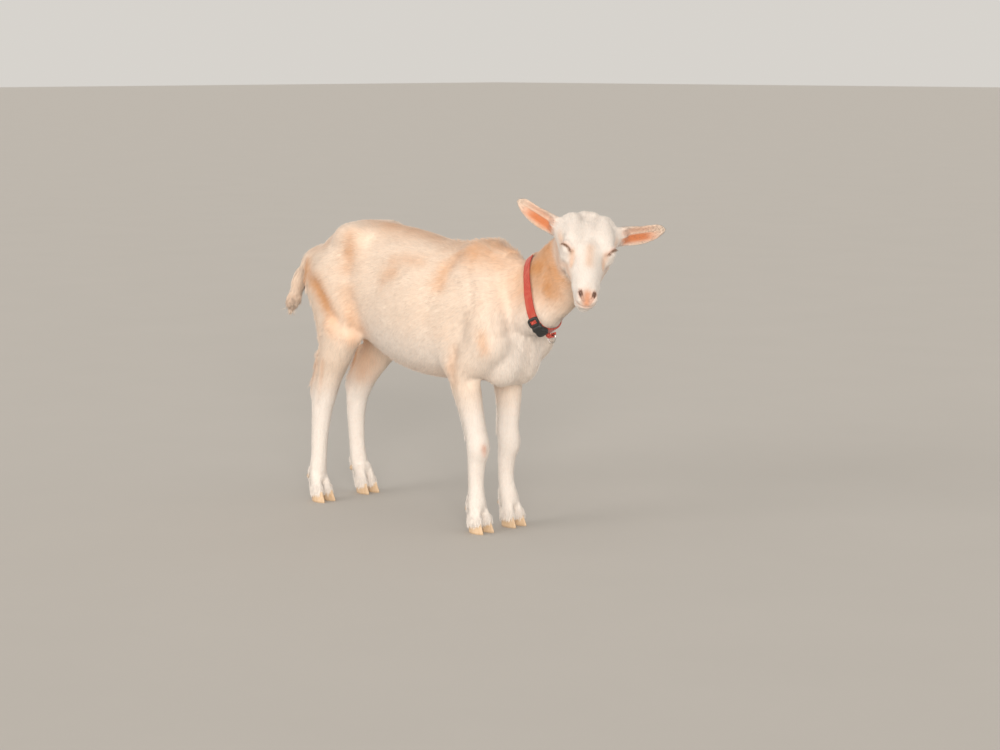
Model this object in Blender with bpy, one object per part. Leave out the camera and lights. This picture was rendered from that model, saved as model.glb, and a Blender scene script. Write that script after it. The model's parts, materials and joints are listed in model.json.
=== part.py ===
"""A young dairy goat standing square with its head turned to its right, as a still model.

The animal faces +X, its left side is +Y and the ground is z = 0.  Everything is in metres.
Sizes are given in a frame whose origin is on the ground between the feet, with the spine over
the x axis; at the end all of it moves so that the origin lies under the middle of the whole.

The flesh is one smooth form, added up from lofted sweeps, ellipsoids and cupped ear leaves that
melt into each other over a blend length.  The form reaches out to the tips of the coat.  It is
turned into a mesh, and flat cuts part it into the body parts, 0.3 mm from face to face.
Claws, dewclaws, eyes and the collar are pieces of their own.
"""

import bpy
import bmesh
import numpy as np
from mathutils import Matrix, Vector

# ------------------------------------------------------------------ driving dimensions
GAP = 0.0003                    # clearance between two neighbouring pieces
BOX_MIDDLE = (0.0662, 0.0191)   # x and y of the middle of the whole, seen from above
WITHERS_HEIGHT = 0.551          # ground to the top of the shoulder blades
CROUP_HEIGHT = 0.577            # ground to the top of the croup
TAIL_TIP = (-0.394, 0.376)      # x and z
COARSE_CELL = 0.0041            # cell of the body's mesh
HEAD_CELL = 0.0030              # cell of the head's mesh
BODY_TRIANGLES = 3500
HEAD_TRIANGLES = 1750

# trunk stations: x, top, bottom, half width
TRUNK = [
    (-0.262, 0.522, 0.430, 0.050),
    (-0.232, 0.549, 0.395, 0.065),
    (-0.190, 0.571, 0.365, 0.076),
    (-0.145, 0.578, 0.348, 0.080),
    (-0.100, CROUP_HEIGHT, 0.330, 0.080),
    (-0.050, 0.572, 0.308, 0.087),
    (0.000, 0.564, 0.290, 0.096),
    (0.050, 0.554, 0.281, 0.101),
    (0.100, 0.548, 0.280, 0.098),
    (0.150, 0.549, 0.284, 0.088),
    (0.200, WITHERS_HEIGHT, 0.284, 0.074),
    (0.235, 0.540, 0.292, 0.060),
]

# neck stations: x, y, z, half depth, half width
NECK = [
    (0.200, 0.000, 0.450, 0.092, 0.056),
    (0.255, 0.000, 0.445, 0.081, 0.047),
    (0.308, 0.000, 0.456, 0.067, 0.034),
    (0.358, 0.000, 0.479, 0.067, 0.034),
    (0.403, 0.002, 0.519, 0.064, 0.036),
    (0.430, 0.008, 0.562, 0.049, 0.038),
]

TAIL = [
    (-0.265, 0.0, 0.503, 0.016, 0.020),
    (-0.305, 0.0, 0.499, 0.0125, 0.016),
    (-0.334, 0.0, 0.487, 0.0095, 0.0115),
    (-0.352, 0.0, 0.460, 0.0080, 0.0100),
    (-0.366, 0.0, 0.428, 0.0130, 0.0130),
    (-0.380, 0.0, 0.400, 0.0130, 0.0140),
    (-0.391, 0.0, 0.379, 0.0060, 0.0070),
]

# stance of each leg: x shift of the foot, x shift of the cannon bone, y of the foot
FORE_STANCE = {-1: (0.000, 0.000, 0.0450), 1: (0.001, -0.006, 0.0420)}
HIND_STANCE = {-1: (0.000, 0.009, 0.0600), 1: (-0.002, -0.021, 0.0620)}

# one claw
CLAW_LENGTH = 0.043
CLAW_WIDTH = 0.0185
CLAW_TOE_HEIGHT = 0.0240
CLAW_HEEL_HEIGHT = 0.0150
FORE_CLAW_TIP = 0.2425          # x of the tip in the plain stance
HIND_CLAW_TIP = -0.2010
CLAW_SPREAD = 0.0145            # centre of a claw from the middle of the foot

# head: how it is turned about the poll
POLL = np.array([0.458, 0.0, 0.622])
HEAD_YAW = -49.0
HEAD_PITCH = 54.7
HEAD_ROLL = -12.4

# head stations along the face: u down the face, top, bottom, half width
HEAD = [
    (0.012, -0.010, -0.082, 0.0340),
    (0.035, 0.001, -0.090, 0.0450),
    (0.058, 0.006, -0.086, 0.0465),
    (0.080, 0.005, -0.073, 0.0410),
    (0.105, -0.001, -0.060, 0.0330),
    (0.130, -0.005, -0.052, 0.0265),
    (0.155, -0.0085, -0.048, 0.0225),
    (0.172, -0.0125, -0.0465, 0.0200),
]
EYE_CENTRE = (0.0785, 0.0365, -0.0135)
EYE_RADIUS = 0.0112

# ears: side, base, direction of the tip, direction the cup opens to, length (head frame)
EAR_HALF_WIDTH = 0.0205
EAR_CUP = 0.013                 # depth of the cup at its rim
EAR_HALF_THICKNESS = 0.0028
EAR_CUT = 0.017                 # from an ear's base to the face where it meets the head
EARS = [
    (1, (0.034, 0.044, -0.030), (-0.038, 0.094, -0.016), (0.75, 0.0, 0.66), 0.113),
    (-1, (0.032, -0.042, -0.030), (-0.078, -0.085, -0.036), (0.80, -0.3, 0.60), 0.116),
]

# collar: a ring in a slanted plane round the neck
COLLAR_TOP = np.array([0.320, 0.0, 0.517])
COLLAR_BOTTOM = np.array([0.358, 0.0, 0.391])
COLLAR_WIDTH = 0.0175
COLLAR_THICKNESS = 0.0030
COLLAR_SINK = 0.0012            # how far the webbing presses into the coat
BUCKLE_FROM = -131.0            # degrees round the ring, 0 at the top, +90 on the left
BUCKLE_TO = -170.0
BUCKLE_WIDTH = 0.0224
BUCKLE_THICKNESS = 0.0085
RING_ANGLE = -181.0
RING_WIDTH = 0.020
RING_WIRE = 0.0013


# ------------------------------------------------------------------ the smooth form
def unit(vector):
    vector = np.asarray(vector, float)
    return vector / np.linalg.norm(vector)


def head_axes():
    """Unit vectors of the head: u down the face, v to its left, w out of the forehead."""
    yaw, pitch, roll = np.radians([HEAD_YAW, HEAD_PITCH, HEAD_ROLL])
    u = np.array([np.cos(pitch) * np.cos(yaw), np.cos(pitch) * np.sin(yaw), -np.sin(pitch)])
    level = np.array([-np.sin(yaw), np.cos(yaw), 0.0])
    out = np.cross(u, level)
    v = level * np.cos(roll) + out * np.sin(roll)
    w = -level * np.sin(roll) + out * np.cos(roll)
    return np.array([u, v, w])


HEAD_AXES = head_axes()
LEFT = np.array([0.0, 1.0, 0.0])


def on_head(u, v, w):
    """A point given in the head's own frame, placed in the goat's frame."""
    return POLL + np.array([u, v, w]) @ HEAD_AXES


def head_direction(u, v, w):
    return unit(np.array([u, v, w]) @ HEAD_AXES)


def smooth_join(a, b, blend):
    """The lower of two distances, rounded over the blend length."""
    h = np.maximum(blend - np.abs(a - b), 0.0) / blend
    return np.minimum(a, b) - h * h * blend / 4.0


def resample(rows, per_span):
    """Stations on a Catmull-Rom curve through the given ones."""
    rows = np.asarray(rows, float)
    ext = np.vstack([2 * rows[0] - rows[1], rows, 2 * rows[-1] - rows[-2]])
    out = []
    for i in range(1, len(ext) - 2):
        a, b, c, d = ext[i - 1:i + 3]
        for t in np.arange(per_span) / per_span:
            cubic = -a + 3 * b - 3 * c + d
            square = 2 * a - 5 * b + 4 * c - d
            out.append(0.5 * (2 * b + (c - a) * t + square * t * t + cubic * t ** 3))
    out.append(rows[-1])
    return np.array(out)


class Sweep:
    """A loft with an elliptical section along a curve: stations x, y, z, half depth, half width."""

    def __init__(self, rows, across=LEFT, per_span=3, cap=1.0):
        rows = resample(rows, per_span)
        self.centre = rows[:, :3]
        self.depth = rows[:, 3]
        self.width = rows[:, 4]
        self.across = unit(across)
        self.cap = cap
        reach = max(self.depth.max(), self.width.max())
        self.lo = self.centre.min(0) - reach
        self.hi = self.centre.max(0) + reach

    def __call__(self, p):
        best = np.full(len(p), np.inf)
        size = np.empty(len(p))
        slope = np.empty(len(p))
        for i in range(len(self.centre) - 1):
            start = self.centre[i]
            span = self.centre[i + 1] - start
            along = unit(span)
            side = unit(self.across - (self.across @ along) * along)
            deep = np.cross(along, side)
            rel = p - start
            t = np.clip(rel @ span / (span @ span), 0, 1)
            off = rel - t[:, None] * span
            away = np.einsum("ij,ij->i", off, off)
            near = away < best
            if not near.any():
                continue
            off = off[near]
            t = t[near]
            d = self.depth[i] + (self.depth[i + 1] - self.depth[i]) * t
            w = self.width[i] + (self.width[i + 1] - self.width[i]) * t
            end = np.minimum(d, w) * self.cap
            a = off @ side
            b = off @ deep
            c = off @ along
            best[near] = away[near]
            size[near] = np.sqrt((a / w) ** 2 + (b / d) ** 2 + (c / end) ** 2) + 1e-9
            slope[near] = np.sqrt((a / w ** 2) ** 2 + (b / d ** 2) ** 2 + (c / end ** 2) ** 2) + 1e-9
        return size * (size - 1) / slope


class Egg:
    """An ellipsoid: centre, three radii, and the axes they lie on."""

    def __init__(self, centre, radii, axes=None):
        self.centre = np.asarray(centre, float)
        self.radii = np.asarray(radii, float)
        self.axes = np.eye(3) if axes is None else axes
        self.lo = self.centre - self.radii.max()
        self.hi = self.centre + self.radii.max()

    def __call__(self, p):
        q = (p - self.centre) @ self.axes.T / self.radii
        size = np.sqrt((q * q).sum(1)) + 1e-9
        slope = np.sqrt(((q / self.radii) ** 2).sum(1)) + 1e-9
        return size * (size - 1) / slope


def ear_half_width(x):
    """Half width of the ear's leaf at a fraction x of its length."""
    swell = 0.52 + 0.48 * np.sin(np.pi * np.clip(x / 0.96, 0, 1)) ** 0.9
    half = EAR_HALF_WIDTH * swell * np.sqrt(np.clip(1 - x ** 8, 0, 1))
    return np.maximum(half, EAR_HALF_THICKNESS + 0.0006)


def ear_bowl(t, x):
    """How far the leaf's middle surface rises towards the opening, t being the place across it."""
    fraction = np.abs(t) / EAR_HALF_WIDTH
    return EAR_CUP * (fraction ** 2 - 0.30) * (1.15 - 0.65 * x) + 0.004 * x * x


class EarLeaf:
    """A cupped leaf of even thickness: its half width follows the length, its cup opens one way."""

    def __init__(self, base, tip_direction, opening, length):
        self.base = np.asarray(base, float)
        self.along = unit(tip_direction)
        self.open = unit(opening - (opening @ self.along) * self.along)
        self.side = np.cross(self.open, self.along)
        self.length = length
        tip = self.base + self.along * length
        self.lo = np.minimum(self.base, tip) - EAR_HALF_WIDTH * 1.6
        self.hi = np.maximum(self.base, tip) + EAR_HALF_WIDTH * 1.6

    def __call__(self, p):
        rel = p - self.base
        s = rel @ self.along
        t = rel @ self.side
        n = rel @ self.open
        thick = EAR_HALF_THICKNESS
        s_in = np.clip(s, 0, self.length - thick)
        x = s_in / self.length
        half = ear_half_width(x) - thick
        t_in = np.clip(t, -half, half)
        lean = 2 * EAR_CUP * np.abs(t_in) / EAR_HALF_WIDTH ** 2
        dn = n - ear_bowl(t_in, x)
        dt = t - t_in
        ds = s - s_in
        return np.sqrt(dt * dt + dn * dn / (1 + lean * lean) + ds * ds) - thick * (1 - 0.22 * x)


def bar(a, b, radius_a, radius_b, flat=1.0, across=LEFT):
    """A straight tapered limb of flesh between two points."""
    a = np.asarray(a, float)
    b = np.asarray(b, float)
    middle = (radius_a + radius_b) / 2
    rows = [
        [*a, radius_a, radius_a * flat],
        [*((a + b) / 2), middle, middle * flat],
        [*b, radius_b, radius_b * flat],
    ]
    return Sweep(rows, across, per_span=1)


class Form:
    """Shapes joined one after another, each with its own blend length."""

    def __init__(self):
        self.shapes = []

    def add(self, shape, blend):
        self.shapes.append((shape, blend))

    def __call__(self, p):
        total = np.full(len(p), 1.0)
        lo = p.min(0)
        hi = p.max(0)
        for shape, blend in self.shapes:
            reach = blend + 0.03
            if (shape.lo - reach > hi).any() or (shape.hi + reach < lo).any():
                continue
            near = ((p > shape.lo - reach) & (p < shape.hi + reach)).all(1)
            if near.any():
                total[near] = smooth_join(total[near], shape(p[near]), blend)
        return total


def add_trunk(form):
    """Barrel, neck, breast and croup."""
    rows = [(x, 0, (top + low) / 2, (top - low) / 2, half) for x, top, low, half in TRUNK]
    form.add(Sweep(rows), 0.010)
    form.add(Sweep(NECK), 0.035)
    form.add(Egg((0.245, 0, 0.352), (0.054, 0.052, 0.060)), 0.03)
    for s in (-1, 1):
        form.add(Egg((0.328, s * 0.012, 0.430), (0.045, 0.026, 0.040)), 0.02)
        form.add(Egg((0.256, s * 0.028, 0.330), (0.040, 0.030, 0.042)), 0.035)
        form.add(Egg((-0.135, s * 0.054, 0.545), (0.034, 0.020, 0.022)), 0.045)
    form.add(Sweep(TAIL), 0.012)


def add_foreleg(form, s):
    """Shoulder blade, upper arm, elbow muscle, forearm, cannon, pastern and the two toes."""
    foot, cannon, y = FORE_STANCE[s]
    y = s * y
    form.add(Sweep([
        (0.185, s * 0.030, 0.528, 0.030, 0.018),
        (0.215, s * 0.048, 0.470, 0.048, 0.028),
        (0.250, s * 0.060, 0.400, 0.046, 0.032),
        (0.260, s * 0.060, 0.372, 0.036, 0.030),
    ]), 0.025)
    form.add(Sweep([
        (0.255, s * 0.058, 0.375, 0.040, 0.030),
        (0.225, s * 0.062, 0.345, 0.042, 0.032),
        (0.186, s * 0.060, 0.312, 0.034, 0.027),
    ]), 0.02)
    form.add(bar((0.165, s * 0.060, 0.430), (0.166, s * 0.062, 0.330), 0.042, 0.028, 0.6), 0.03)
    form.add(Sweep([
        (0.184, s * 0.060, 0.325, 0.0360, 0.0280),
        (0.192 + cannon * 0.2, s * 0.057, 0.285, 0.0340, 0.0270),
        (0.202 + cannon * 0.5, s * 0.052, 0.235, 0.0270, 0.0225),
        (0.210 + cannon, y + s * 0.002, 0.190, 0.0235, 0.0212),
        (0.2145 + cannon, y + s * 0.001, 0.162, 0.0245, 0.0225),
        (0.2095 + cannon, y, 0.135, 0.0202, 0.0186),
        (0.207 + cannon, y, 0.100, 0.0180, 0.0158),
        (0.208 + cannon * 0.7 + foot * 0.2, y, 0.075, 0.0186, 0.0164),
        (0.209 + foot * 0.6, y, 0.054, 0.0200, 0.0194),
        (0.2125 + foot, y, 0.042, 0.0160, 0.0165),
    ], cap=0.5), 0.012)
    for k in (-1, 1):
        form.add(Sweep([
            (0.209 + foot, y + k * 0.0080, 0.052, 0.0140, 0.0105),
            (0.2135 + foot, y + k * 0.0105, 0.037, 0.0165, 0.0105),
            (0.2165 + foot, y + k * 0.0128, 0.024, 0.0180, 0.0112),
            (0.2185 + foot, y + k * 0.0135, 0.014, 0.0175, 0.0105),
        ], cap=0.4), 0.005)


def add_hindleg(form, s):
    """Thigh, ham, gaskin, hock with its tendon, cannon, pastern and the two toes."""
    foot, hock, y = HIND_STANCE[s]
    y = s * y
    form.add(bar((-0.205, s * 0.040, 0.462), (-0.144, s * 0.059, 0.370), 0.074, 0.043, 0.60), 0.03)
    form.add(bar((-0.262, s * 0.034, 0.490), (-0.205, s * 0.055, 0.345), 0.024, 0.028, 0.75), 0.03)
    form.add(Sweep([
        (-0.152, s * 0.064, 0.355, 0.0460, 0.0365),
        (-0.180 + hock * 0.2, s * 0.062, 0.305, 0.0400, 0.0310),
        (-0.206 + hock * 0.6, s * 0.060, 0.258, 0.0310, 0.0250),
        (-0.227 + hock, y - s * 0.001, 0.214, 0.0280, 0.0225),
        (-0.235 + hock, y - s * 0.001, 0.180, 0.0240, 0.0200),
        (-0.239 + hock * 0.9, y, 0.135, 0.0205, 0.0168),
        (-0.2405 + hock * 0.7, y, 0.095, 0.0192, 0.0162),
        (-0.2405 + foot + hock * 0.3, y, 0.062, 0.0196, 0.0178),
        (-0.2355 + foot, y, 0.045, 0.0160, 0.0162),
    ], cap=0.5), 0.02)
    heel = (-0.250 + hock, y - s * 0.001, 0.222)
    form.add(bar((-0.224 + hock * 0.5, s * 0.060, 0.300), heel, 0.015, 0.0115, 0.8), 0.02)
    for k in (-1, 1):
        form.add(Sweep([
            (-0.239 + foot, y + k * 0.0080, 0.056, 0.0140, 0.0105),
            (-0.2325 + foot, y + k * 0.0105, 0.039, 0.0160, 0.0102),
            (-0.2285 + foot, y + k * 0.0120, 0.025, 0.0162, 0.0103),
            (-0.2260 + foot, y + k * 0.0125, 0.014, 0.0155, 0.0098),
        ], cap=0.4), 0.005)


def add_head(form):
    """Skull, brows, cheeks, closed eyelids, bridge of the nose, nostrils, lips, chin and ears."""
    rows = []
    for u, top, low, half in HEAD:
        rows.append([*on_head(u, 0, (top + low) / 2), (top - low) / 2, half])
    v_axis = HEAD_AXES[1]
    form.add(Sweep(rows, across=v_axis, cap=0.8), 0.012)

    def lump(centre, radii, blend):
        form.add(Egg(on_head(*centre), radii, HEAD_AXES), blend)

    def ridge(a, b, radius_a, radius_b, blend, flat=1.0):
        form.add(bar(on_head(*a), on_head(*b), radius_a, radius_b, flat, across=v_axis), blend)

    for s in (-1, 1):
        lump((0.054, s * 0.028, -0.008), (0.034, 0.018, 0.0155), 0.010)
        lump((0.058, s * 0.030, -0.052), (0.036, 0.015, 0.030), 0.014)
        lump((0.026, s * 0.033, -0.022), (0.025, 0.019, 0.018), 0.014)
        ridge((0.085, s * 0.038, -0.022), (0.040, s * 0.043, -0.030), 0.011, 0.013, 0.010)
        lump((0.079, s * 0.0390, -0.0110), (0.0160, 0.0135, 0.0135), 0.006)
        lump((0.170, s * 0.0115, -0.0170), (0.0135, 0.0085, 0.0100), 0.005)
        ridge((0.146, s * 0.0150, -0.032), (0.172, s * 0.0110, -0.034), 0.0100, 0.0090, 0.007)
    ridge((0.080, 0, -0.009), (0.158, 0, -0.0205), 0.0150, 0.0115, 0.010, flat=1.2)
    lump((0.1765, 0, -0.0255), (0.0110, 0.0145, 0.0120), 0.005)
    lump((0.1695, 0, -0.0440), (0.0150, 0.0135, 0.0095), 0.005)
    for ear in EARS:
        add_ear(form, ear)


def add_ear(form, ear):
    """The cupped leaf of one ear on its short round root."""
    _, base, tip, opening, length = ear
    root = on_head(*base)
    out = head_direction(*tip)
    form.add(EarLeaf(root, out, head_direction(*opening), length), 0.010)
    form.add(bar(root - out * 0.010, root + out * 0.020, 0.018, 0.012), 0.014)


def goat_form():
    form = Form()
    add_trunk(form)
    for s in (-1, 1):
        add_foreleg(form, s)
        add_hindleg(form, s)
    add_head(form)
    return form


# ------------------------------------------------------------------ from the form to a mesh
def mesh_of_form(form, lo, hi, cell, block=8):
    """Quads on the zero level of the form, one vertex in each cell that the level crosses.

    The box is taken in blocks, and only blocks near the level are sampled.  A face is made round
    each cell edge whose ends lie on different sides, turned so that it looks outwards.
    """
    lo = np.asarray(lo, float)
    count = np.ceil((np.asarray(hi, float) - lo) / (cell * block)).astype(int)
    grid = np.meshgrid(*[np.arange(n) for n in count], indexing="ij")
    blocks = np.stack(grid, -1).reshape(-1, 3)
    middle = lo + (blocks + 0.5) * cell * block
    level = np.concatenate([form(part) for part in np.array_split(middle, 24)])
    blocks = blocks[np.abs(level) < cell * block * 1.9]
    steps = np.arange(block + 1)
    corner = np.stack(np.meshgrid(steps, steps, steps, indexing="ij"), -1).reshape(-1, 3)
    value = np.empty((len(blocks), (block + 1) ** 3))
    for i, which in enumerate(blocks):
        value[i] = form(lo + (which * block + corner) * cell)
    value = value.reshape(-1, block + 1, block + 1, block + 1)
    inside = value < 0
    n = block
    filled = np.zeros((len(blocks), n, n, n), int)
    for i in (0, 1):
        for j in (0, 1):
            for k in (0, 1):
                filled += inside[:, i:n + i, j:n + j, k:n + k]
    active = np.argwhere((filled > 0) & (filled < 8))
    b, i, j, k = active.T
    place = np.zeros((len(active), 3))
    crossings = np.zeros(len(active))
    for axis in range(3):
        others = [a for a in range(3) if a != axis]
        for first in (0, 1):
            for second in (0, 1):
                low = [0, 0, 0]
                low[others[0]] = first
                low[others[1]] = second
                high = list(low)
                high[axis] = 1
                f0 = value[b, i + low[0], j + low[1], k + low[2]]
                f1 = value[b, i + high[0], j + high[1], k + high[2]]
                cross = (f0 < 0) != (f1 < 0)
                point = np.tile(np.array(low, float), (len(active), 1))
                point[:, axis] = np.where(cross, f0 / np.where(cross, f0 - f1, 1), 0)
                place += point * cross[:, None]
                crossings += cross
    cells = blocks[b] * block + active[:, 1:]
    points = lo + (cells + place / crossings[:, None]) * cell
    size = count * block + 1
    key = (cells[:, 0] * size[1] + cells[:, 1]) * size[2] + cells[:, 2]
    order = np.argsort(key)
    sorted_key = key[order]
    faces = []
    for axis in range(3):
        right = (axis + 1) % 3
        up = (axis + 2) % 3
        part = [slice(0, n)] * 3
        part[axis] = slice(1, n + 1)
        here = inside[:, :n, :n, :n]
        there = inside[:, part[0], part[1], part[2]]
        edges = np.argwhere(here != there)
        base = blocks[edges[:, 0]] * block + edges[:, 1:]
        leaving = here[edges[:, 0], edges[:, 1], edges[:, 2], edges[:, 3]]
        quad = []
        for du, dv in ((0, 0), (-1, 0), (-1, -1), (0, -1)):
            c = base.copy()
            c[:, right] += du
            c[:, up] += dv
            wanted = (c[:, 0] * size[1] + c[:, 1]) * size[2] + c[:, 2]
            at = np.minimum(np.searchsorted(sorted_key, wanted), len(key) - 1)
            quad.append(np.where(sorted_key[at] == wanted, order[at], -1))
        quad = np.stack(quad, 1)
        whole = (quad >= 0).all(1)
        quad = quad[whole]
        leaving = leaving[whole]
        quad[~leaving] = quad[~leaving][:, ::-1]
        faces.append(quad)
    return points, np.concatenate(faces)


# ------------------------------------------------------------------ Blender helpers
def material(name, colour, roughness, metallic=0.0):
    mat = bpy.data.materials.new(name)
    mat.use_nodes = True
    shader = mat.node_tree.nodes["Principled BSDF"]
    shader.inputs["Base Color"].default_value = (*colour, 1.0)
    shader.inputs["Roughness"].default_value = roughness
    shader.inputs["Metallic"].default_value = metallic
    return mat


def new_object(name, mesh, mat=None, sharp=40.0):
    obj = bpy.data.objects.new(name, mesh)
    bpy.context.scene.collection.objects.link(obj)
    if mat is not None:
        mesh.materials.append(mat)
        mesh.shade_smooth()
        mesh.set_sharp_from_angle(angle=np.radians(sharp))
    return obj


def mesh_from(name, points, faces):
    mesh = bpy.data.meshes.new(name)
    mesh.from_pydata([tuple(p) for p in points], [], [tuple(int(i) for i in f) for f in faces])
    mesh.validate()
    mesh.update()
    return mesh


def largest_piece(bm):
    """Keeps the biggest connected piece of a mesh."""
    left = set(bm.verts)
    best = set()
    while left:
        seed = left.pop()
        piece = {seed}
        edge = [seed]
        while edge:
            vert = edge.pop()
            for link in vert.link_edges:
                other = link.other_vert(vert)
                if other in left:
                    left.remove(other)
                    piece.add(other)
                    edge.append(other)
        if len(piece) > len(best):
            best = piece
    bmesh.ops.delete(bm, geom=[v for v in bm.verts if v not in best], context="VERTS")


def flesh_mesh(name, form, lo, hi, cell, triangles):
    """The form in a box as a closed mesh, thinned to about the given number of triangles."""
    points, faces = mesh_of_form(form, lo, hi, cell)
    rough = bpy.data.objects.new(name + "_fine", mesh_from(name + "_fine", points, faces))
    bpy.context.scene.collection.objects.link(rough)
    thin = rough.modifiers.new("thin", "DECIMATE")
    thin.ratio = triangles / (2.0 * len(faces))
    bpy.context.view_layer.update()
    graph = bpy.context.evaluated_depsgraph_get()
    mesh = bpy.data.meshes.new_from_object(rough.evaluated_get(graph))
    mesh.name = name
    old = rough.data
    bpy.data.objects.remove(rough)
    bpy.data.meshes.remove(old)
    bm = bmesh.new()
    bm.from_mesh(mesh)
    bmesh.ops.dissolve_degenerate(bm, dist=1e-5, edges=bm.edges)
    largest_piece(bm)
    open_edges = [e for e in bm.edges if e.is_boundary]
    if open_edges:
        bmesh.ops.holes_fill(bm, edges=open_edges, sides=0)
    bmesh.ops.triangulate(bm, faces=bm.faces)
    bmesh.ops.recalc_face_normals(bm, faces=bm.faces)
    bm.to_mesh(mesh)
    bm.free()
    return mesh


def cutter(obj):
    obj.hide_render = True
    obj.display_type = "WIRE"
    return obj


def box_cutter(name, centre, axes, size):
    """A box with its middle at centre, its edges along three unit axes."""
    bm = bmesh.new()
    bmesh.ops.create_cube(bm, size=1.0)
    turn = Matrix([[*row] for row in np.asarray(axes).T]).to_4x4()
    scale = Matrix.Diagonal(Vector((*size, 1.0)))
    bm.transform(Matrix.Translation(Vector(centre)) @ turn @ scale)
    mesh = bpy.data.meshes.new(name)
    bm.to_mesh(mesh)
    bm.free()
    return cutter(new_object(name, mesh))


def half_space(name, point, normal, across, reach=0.6):
    """A big box that fills the side of a plane to which the normal points."""
    normal = unit(normal)
    side = unit(across - (across @ normal) * normal)
    third = np.cross(normal, side)
    centre = np.asarray(point) + normal * reach / 2
    return box_cutter(name, centre, [normal, side, third], (reach, reach, reach))


def boolean(obj, tool, how):
    mod = obj.modifiers.new(how.lower() + "_" + tool.name, "BOOLEAN")
    mod.operation = how
    mod.solver = "EXACT"
    mod.object = tool


def shape_mesh(name, rings, close_ends=True, closed=False):
    """A skin over rings of points, all with the same number of points."""
    rings = np.asarray(rings, float)
    n = rings.shape[1]
    bm = bmesh.new()
    loops = [[bm.verts.new(p) for p in ring] for ring in rings]
    pairs = list(zip(loops[:-1], loops[1:]))
    if closed:
        pairs.append((loops[-1], loops[0]))
    for one, two in pairs:
        for i in range(n):
            bm.faces.new((one[i], one[(i + 1) % n], two[(i + 1) % n], two[i]))
    if close_ends and not closed:
        bm.faces.new(loops[0][::-1])
        bm.faces.new(loops[-1])
    bmesh.ops.triangulate(bm, faces=bm.faces)
    bmesh.ops.recalc_face_normals(bm, faces=bm.faces)
    mesh = bpy.data.meshes.new(name)
    bm.to_mesh(mesh)
    bm.free()
    return mesh


def ear_leaf_mesh(name, base, along, opening, length, across_steps=7):
    """The ear's leaf as rings across it: the cupped face, the rim, and the back of the ear."""
    opening = unit(opening - (opening @ along) * along)
    side = np.cross(opening, along)
    first = EAR_CUT + GAP
    stations = np.append(first + (length - first) * np.linspace(0, 1, 13)[:-1] ** 1.1, length - 0.0006)
    rings = []
    for s in stations:
        x = s / length
        root = np.sqrt(max(0.0125 ** 2 - max(s - 0.020, 0) ** 2, 0))
        taper = np.sqrt(max(1 - ((s - (length - 0.006)) / 0.006) ** 2, 0.03)) if s > length - 0.006 else 1
        thick = max(EAR_HALF_THICKNESS * (1 - 0.22 * x), root * 0.9) * taper
        half = (ear_half_width(min(x, 0.97)) - EAR_HALF_THICKNESS) * taper
        t = np.linspace(-half, half, across_steps)
        rise = ear_bowl(t, x) * min(1, EAR_HALF_THICKNESS / thick * 1.3)
        face = np.stack([t, rise + thick], 1)
        rim = EAR_HALF_THICKNESS * taper
        back = np.stack([t[::-1], rise[::-1] - thick], 1)
        far = [[half + rim, rise[-1]]]
        near = [[-half - rim, rise[0]]]
        outline = np.vstack([face, far, back, near])
        rings.append(base + along * s + outline[:, :1] * side + outline[:, 1:] * opening)
    return shape_mesh(name, rings)


# ------------------------------------------------------------------ start with an empty scene
for old in list(bpy.data.objects):
    bpy.data.objects.remove(old)

FORM = goat_form()

COAT = material("coat_cream", (0.87, 0.76, 0.62), 0.85)
EAR_COAT = material("ear_pink_cream", (0.86, 0.60, 0.47), 0.75)
CLAW = material("claw_horn", (0.72, 0.58, 0.38), 0.45)
DEWCLAW = material("dewclaw_horn", (0.52, 0.40, 0.27), 0.50)
EYE = material("eye_dark", (0.05, 0.035, 0.02), 0.12)
WEBBING = material("webbing_coral", (0.62, 0.13, 0.09), 0.80)
BUCKLE = material("buckle_black", (0.02, 0.02, 0.022), 0.38)
STEEL = material("ring_steel", (0.60, 0.60, 0.58), 0.30, 1.0)

BODY_MESH = flesh_mesh("flesh", FORM, (-0.42, -0.13, 0.0), (0.64, 0.17, 0.72),
                       COARSE_CELL, BODY_TRIANGLES)
HEAD_MESH = flesh_mesh("face", FORM, (0.37, -0.15, 0.43), (0.60, 0.13, 0.66),
                       HEAD_CELL, HEAD_TRIANGLES)

# ------------------------------------------------------------------ planes that part the flesh
COLLAR_UP = unit(COLLAR_TOP - COLLAR_BOTTOM)
COLLAR_OUT = np.cross(LEFT, COLLAR_UP)
COLLAR_MIDDLE = (COLLAR_TOP + COLLAR_BOTTOM) / 2

head_normal = head_direction(0.385, 0, 0.923)
head_point = on_head(-0.02, 0, -0.055)
head_side = half_space("cut_head", head_point + head_normal * GAP / 2, head_normal, LEFT)
neck_end = half_space("cut_neck_end", head_point - head_normal * GAP / 2, head_normal, LEFT)
neck_point = COLLAR_MIDDLE - COLLAR_OUT * 0.017
neck_side = half_space("cut_neck", neck_point + COLLAR_OUT * GAP / 2, COLLAR_OUT, LEFT)
trunk_end = half_space("cut_trunk_end", neck_point - COLLAR_OUT * GAP / 2, COLLAR_OUT, LEFT)

tail_box = box_cutter("cut_tail", (-0.4065, 0, 0.44), np.eye(3), (0.200, 0.07, 0.2))
tail_room = box_cutter("cut_tail_room", (-0.4065, 0, 0.44), np.eye(3),
                       (0.200 + 2 * GAP, 0.07 + 2 * GAP, 0.2 + 2 * GAP))


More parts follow.
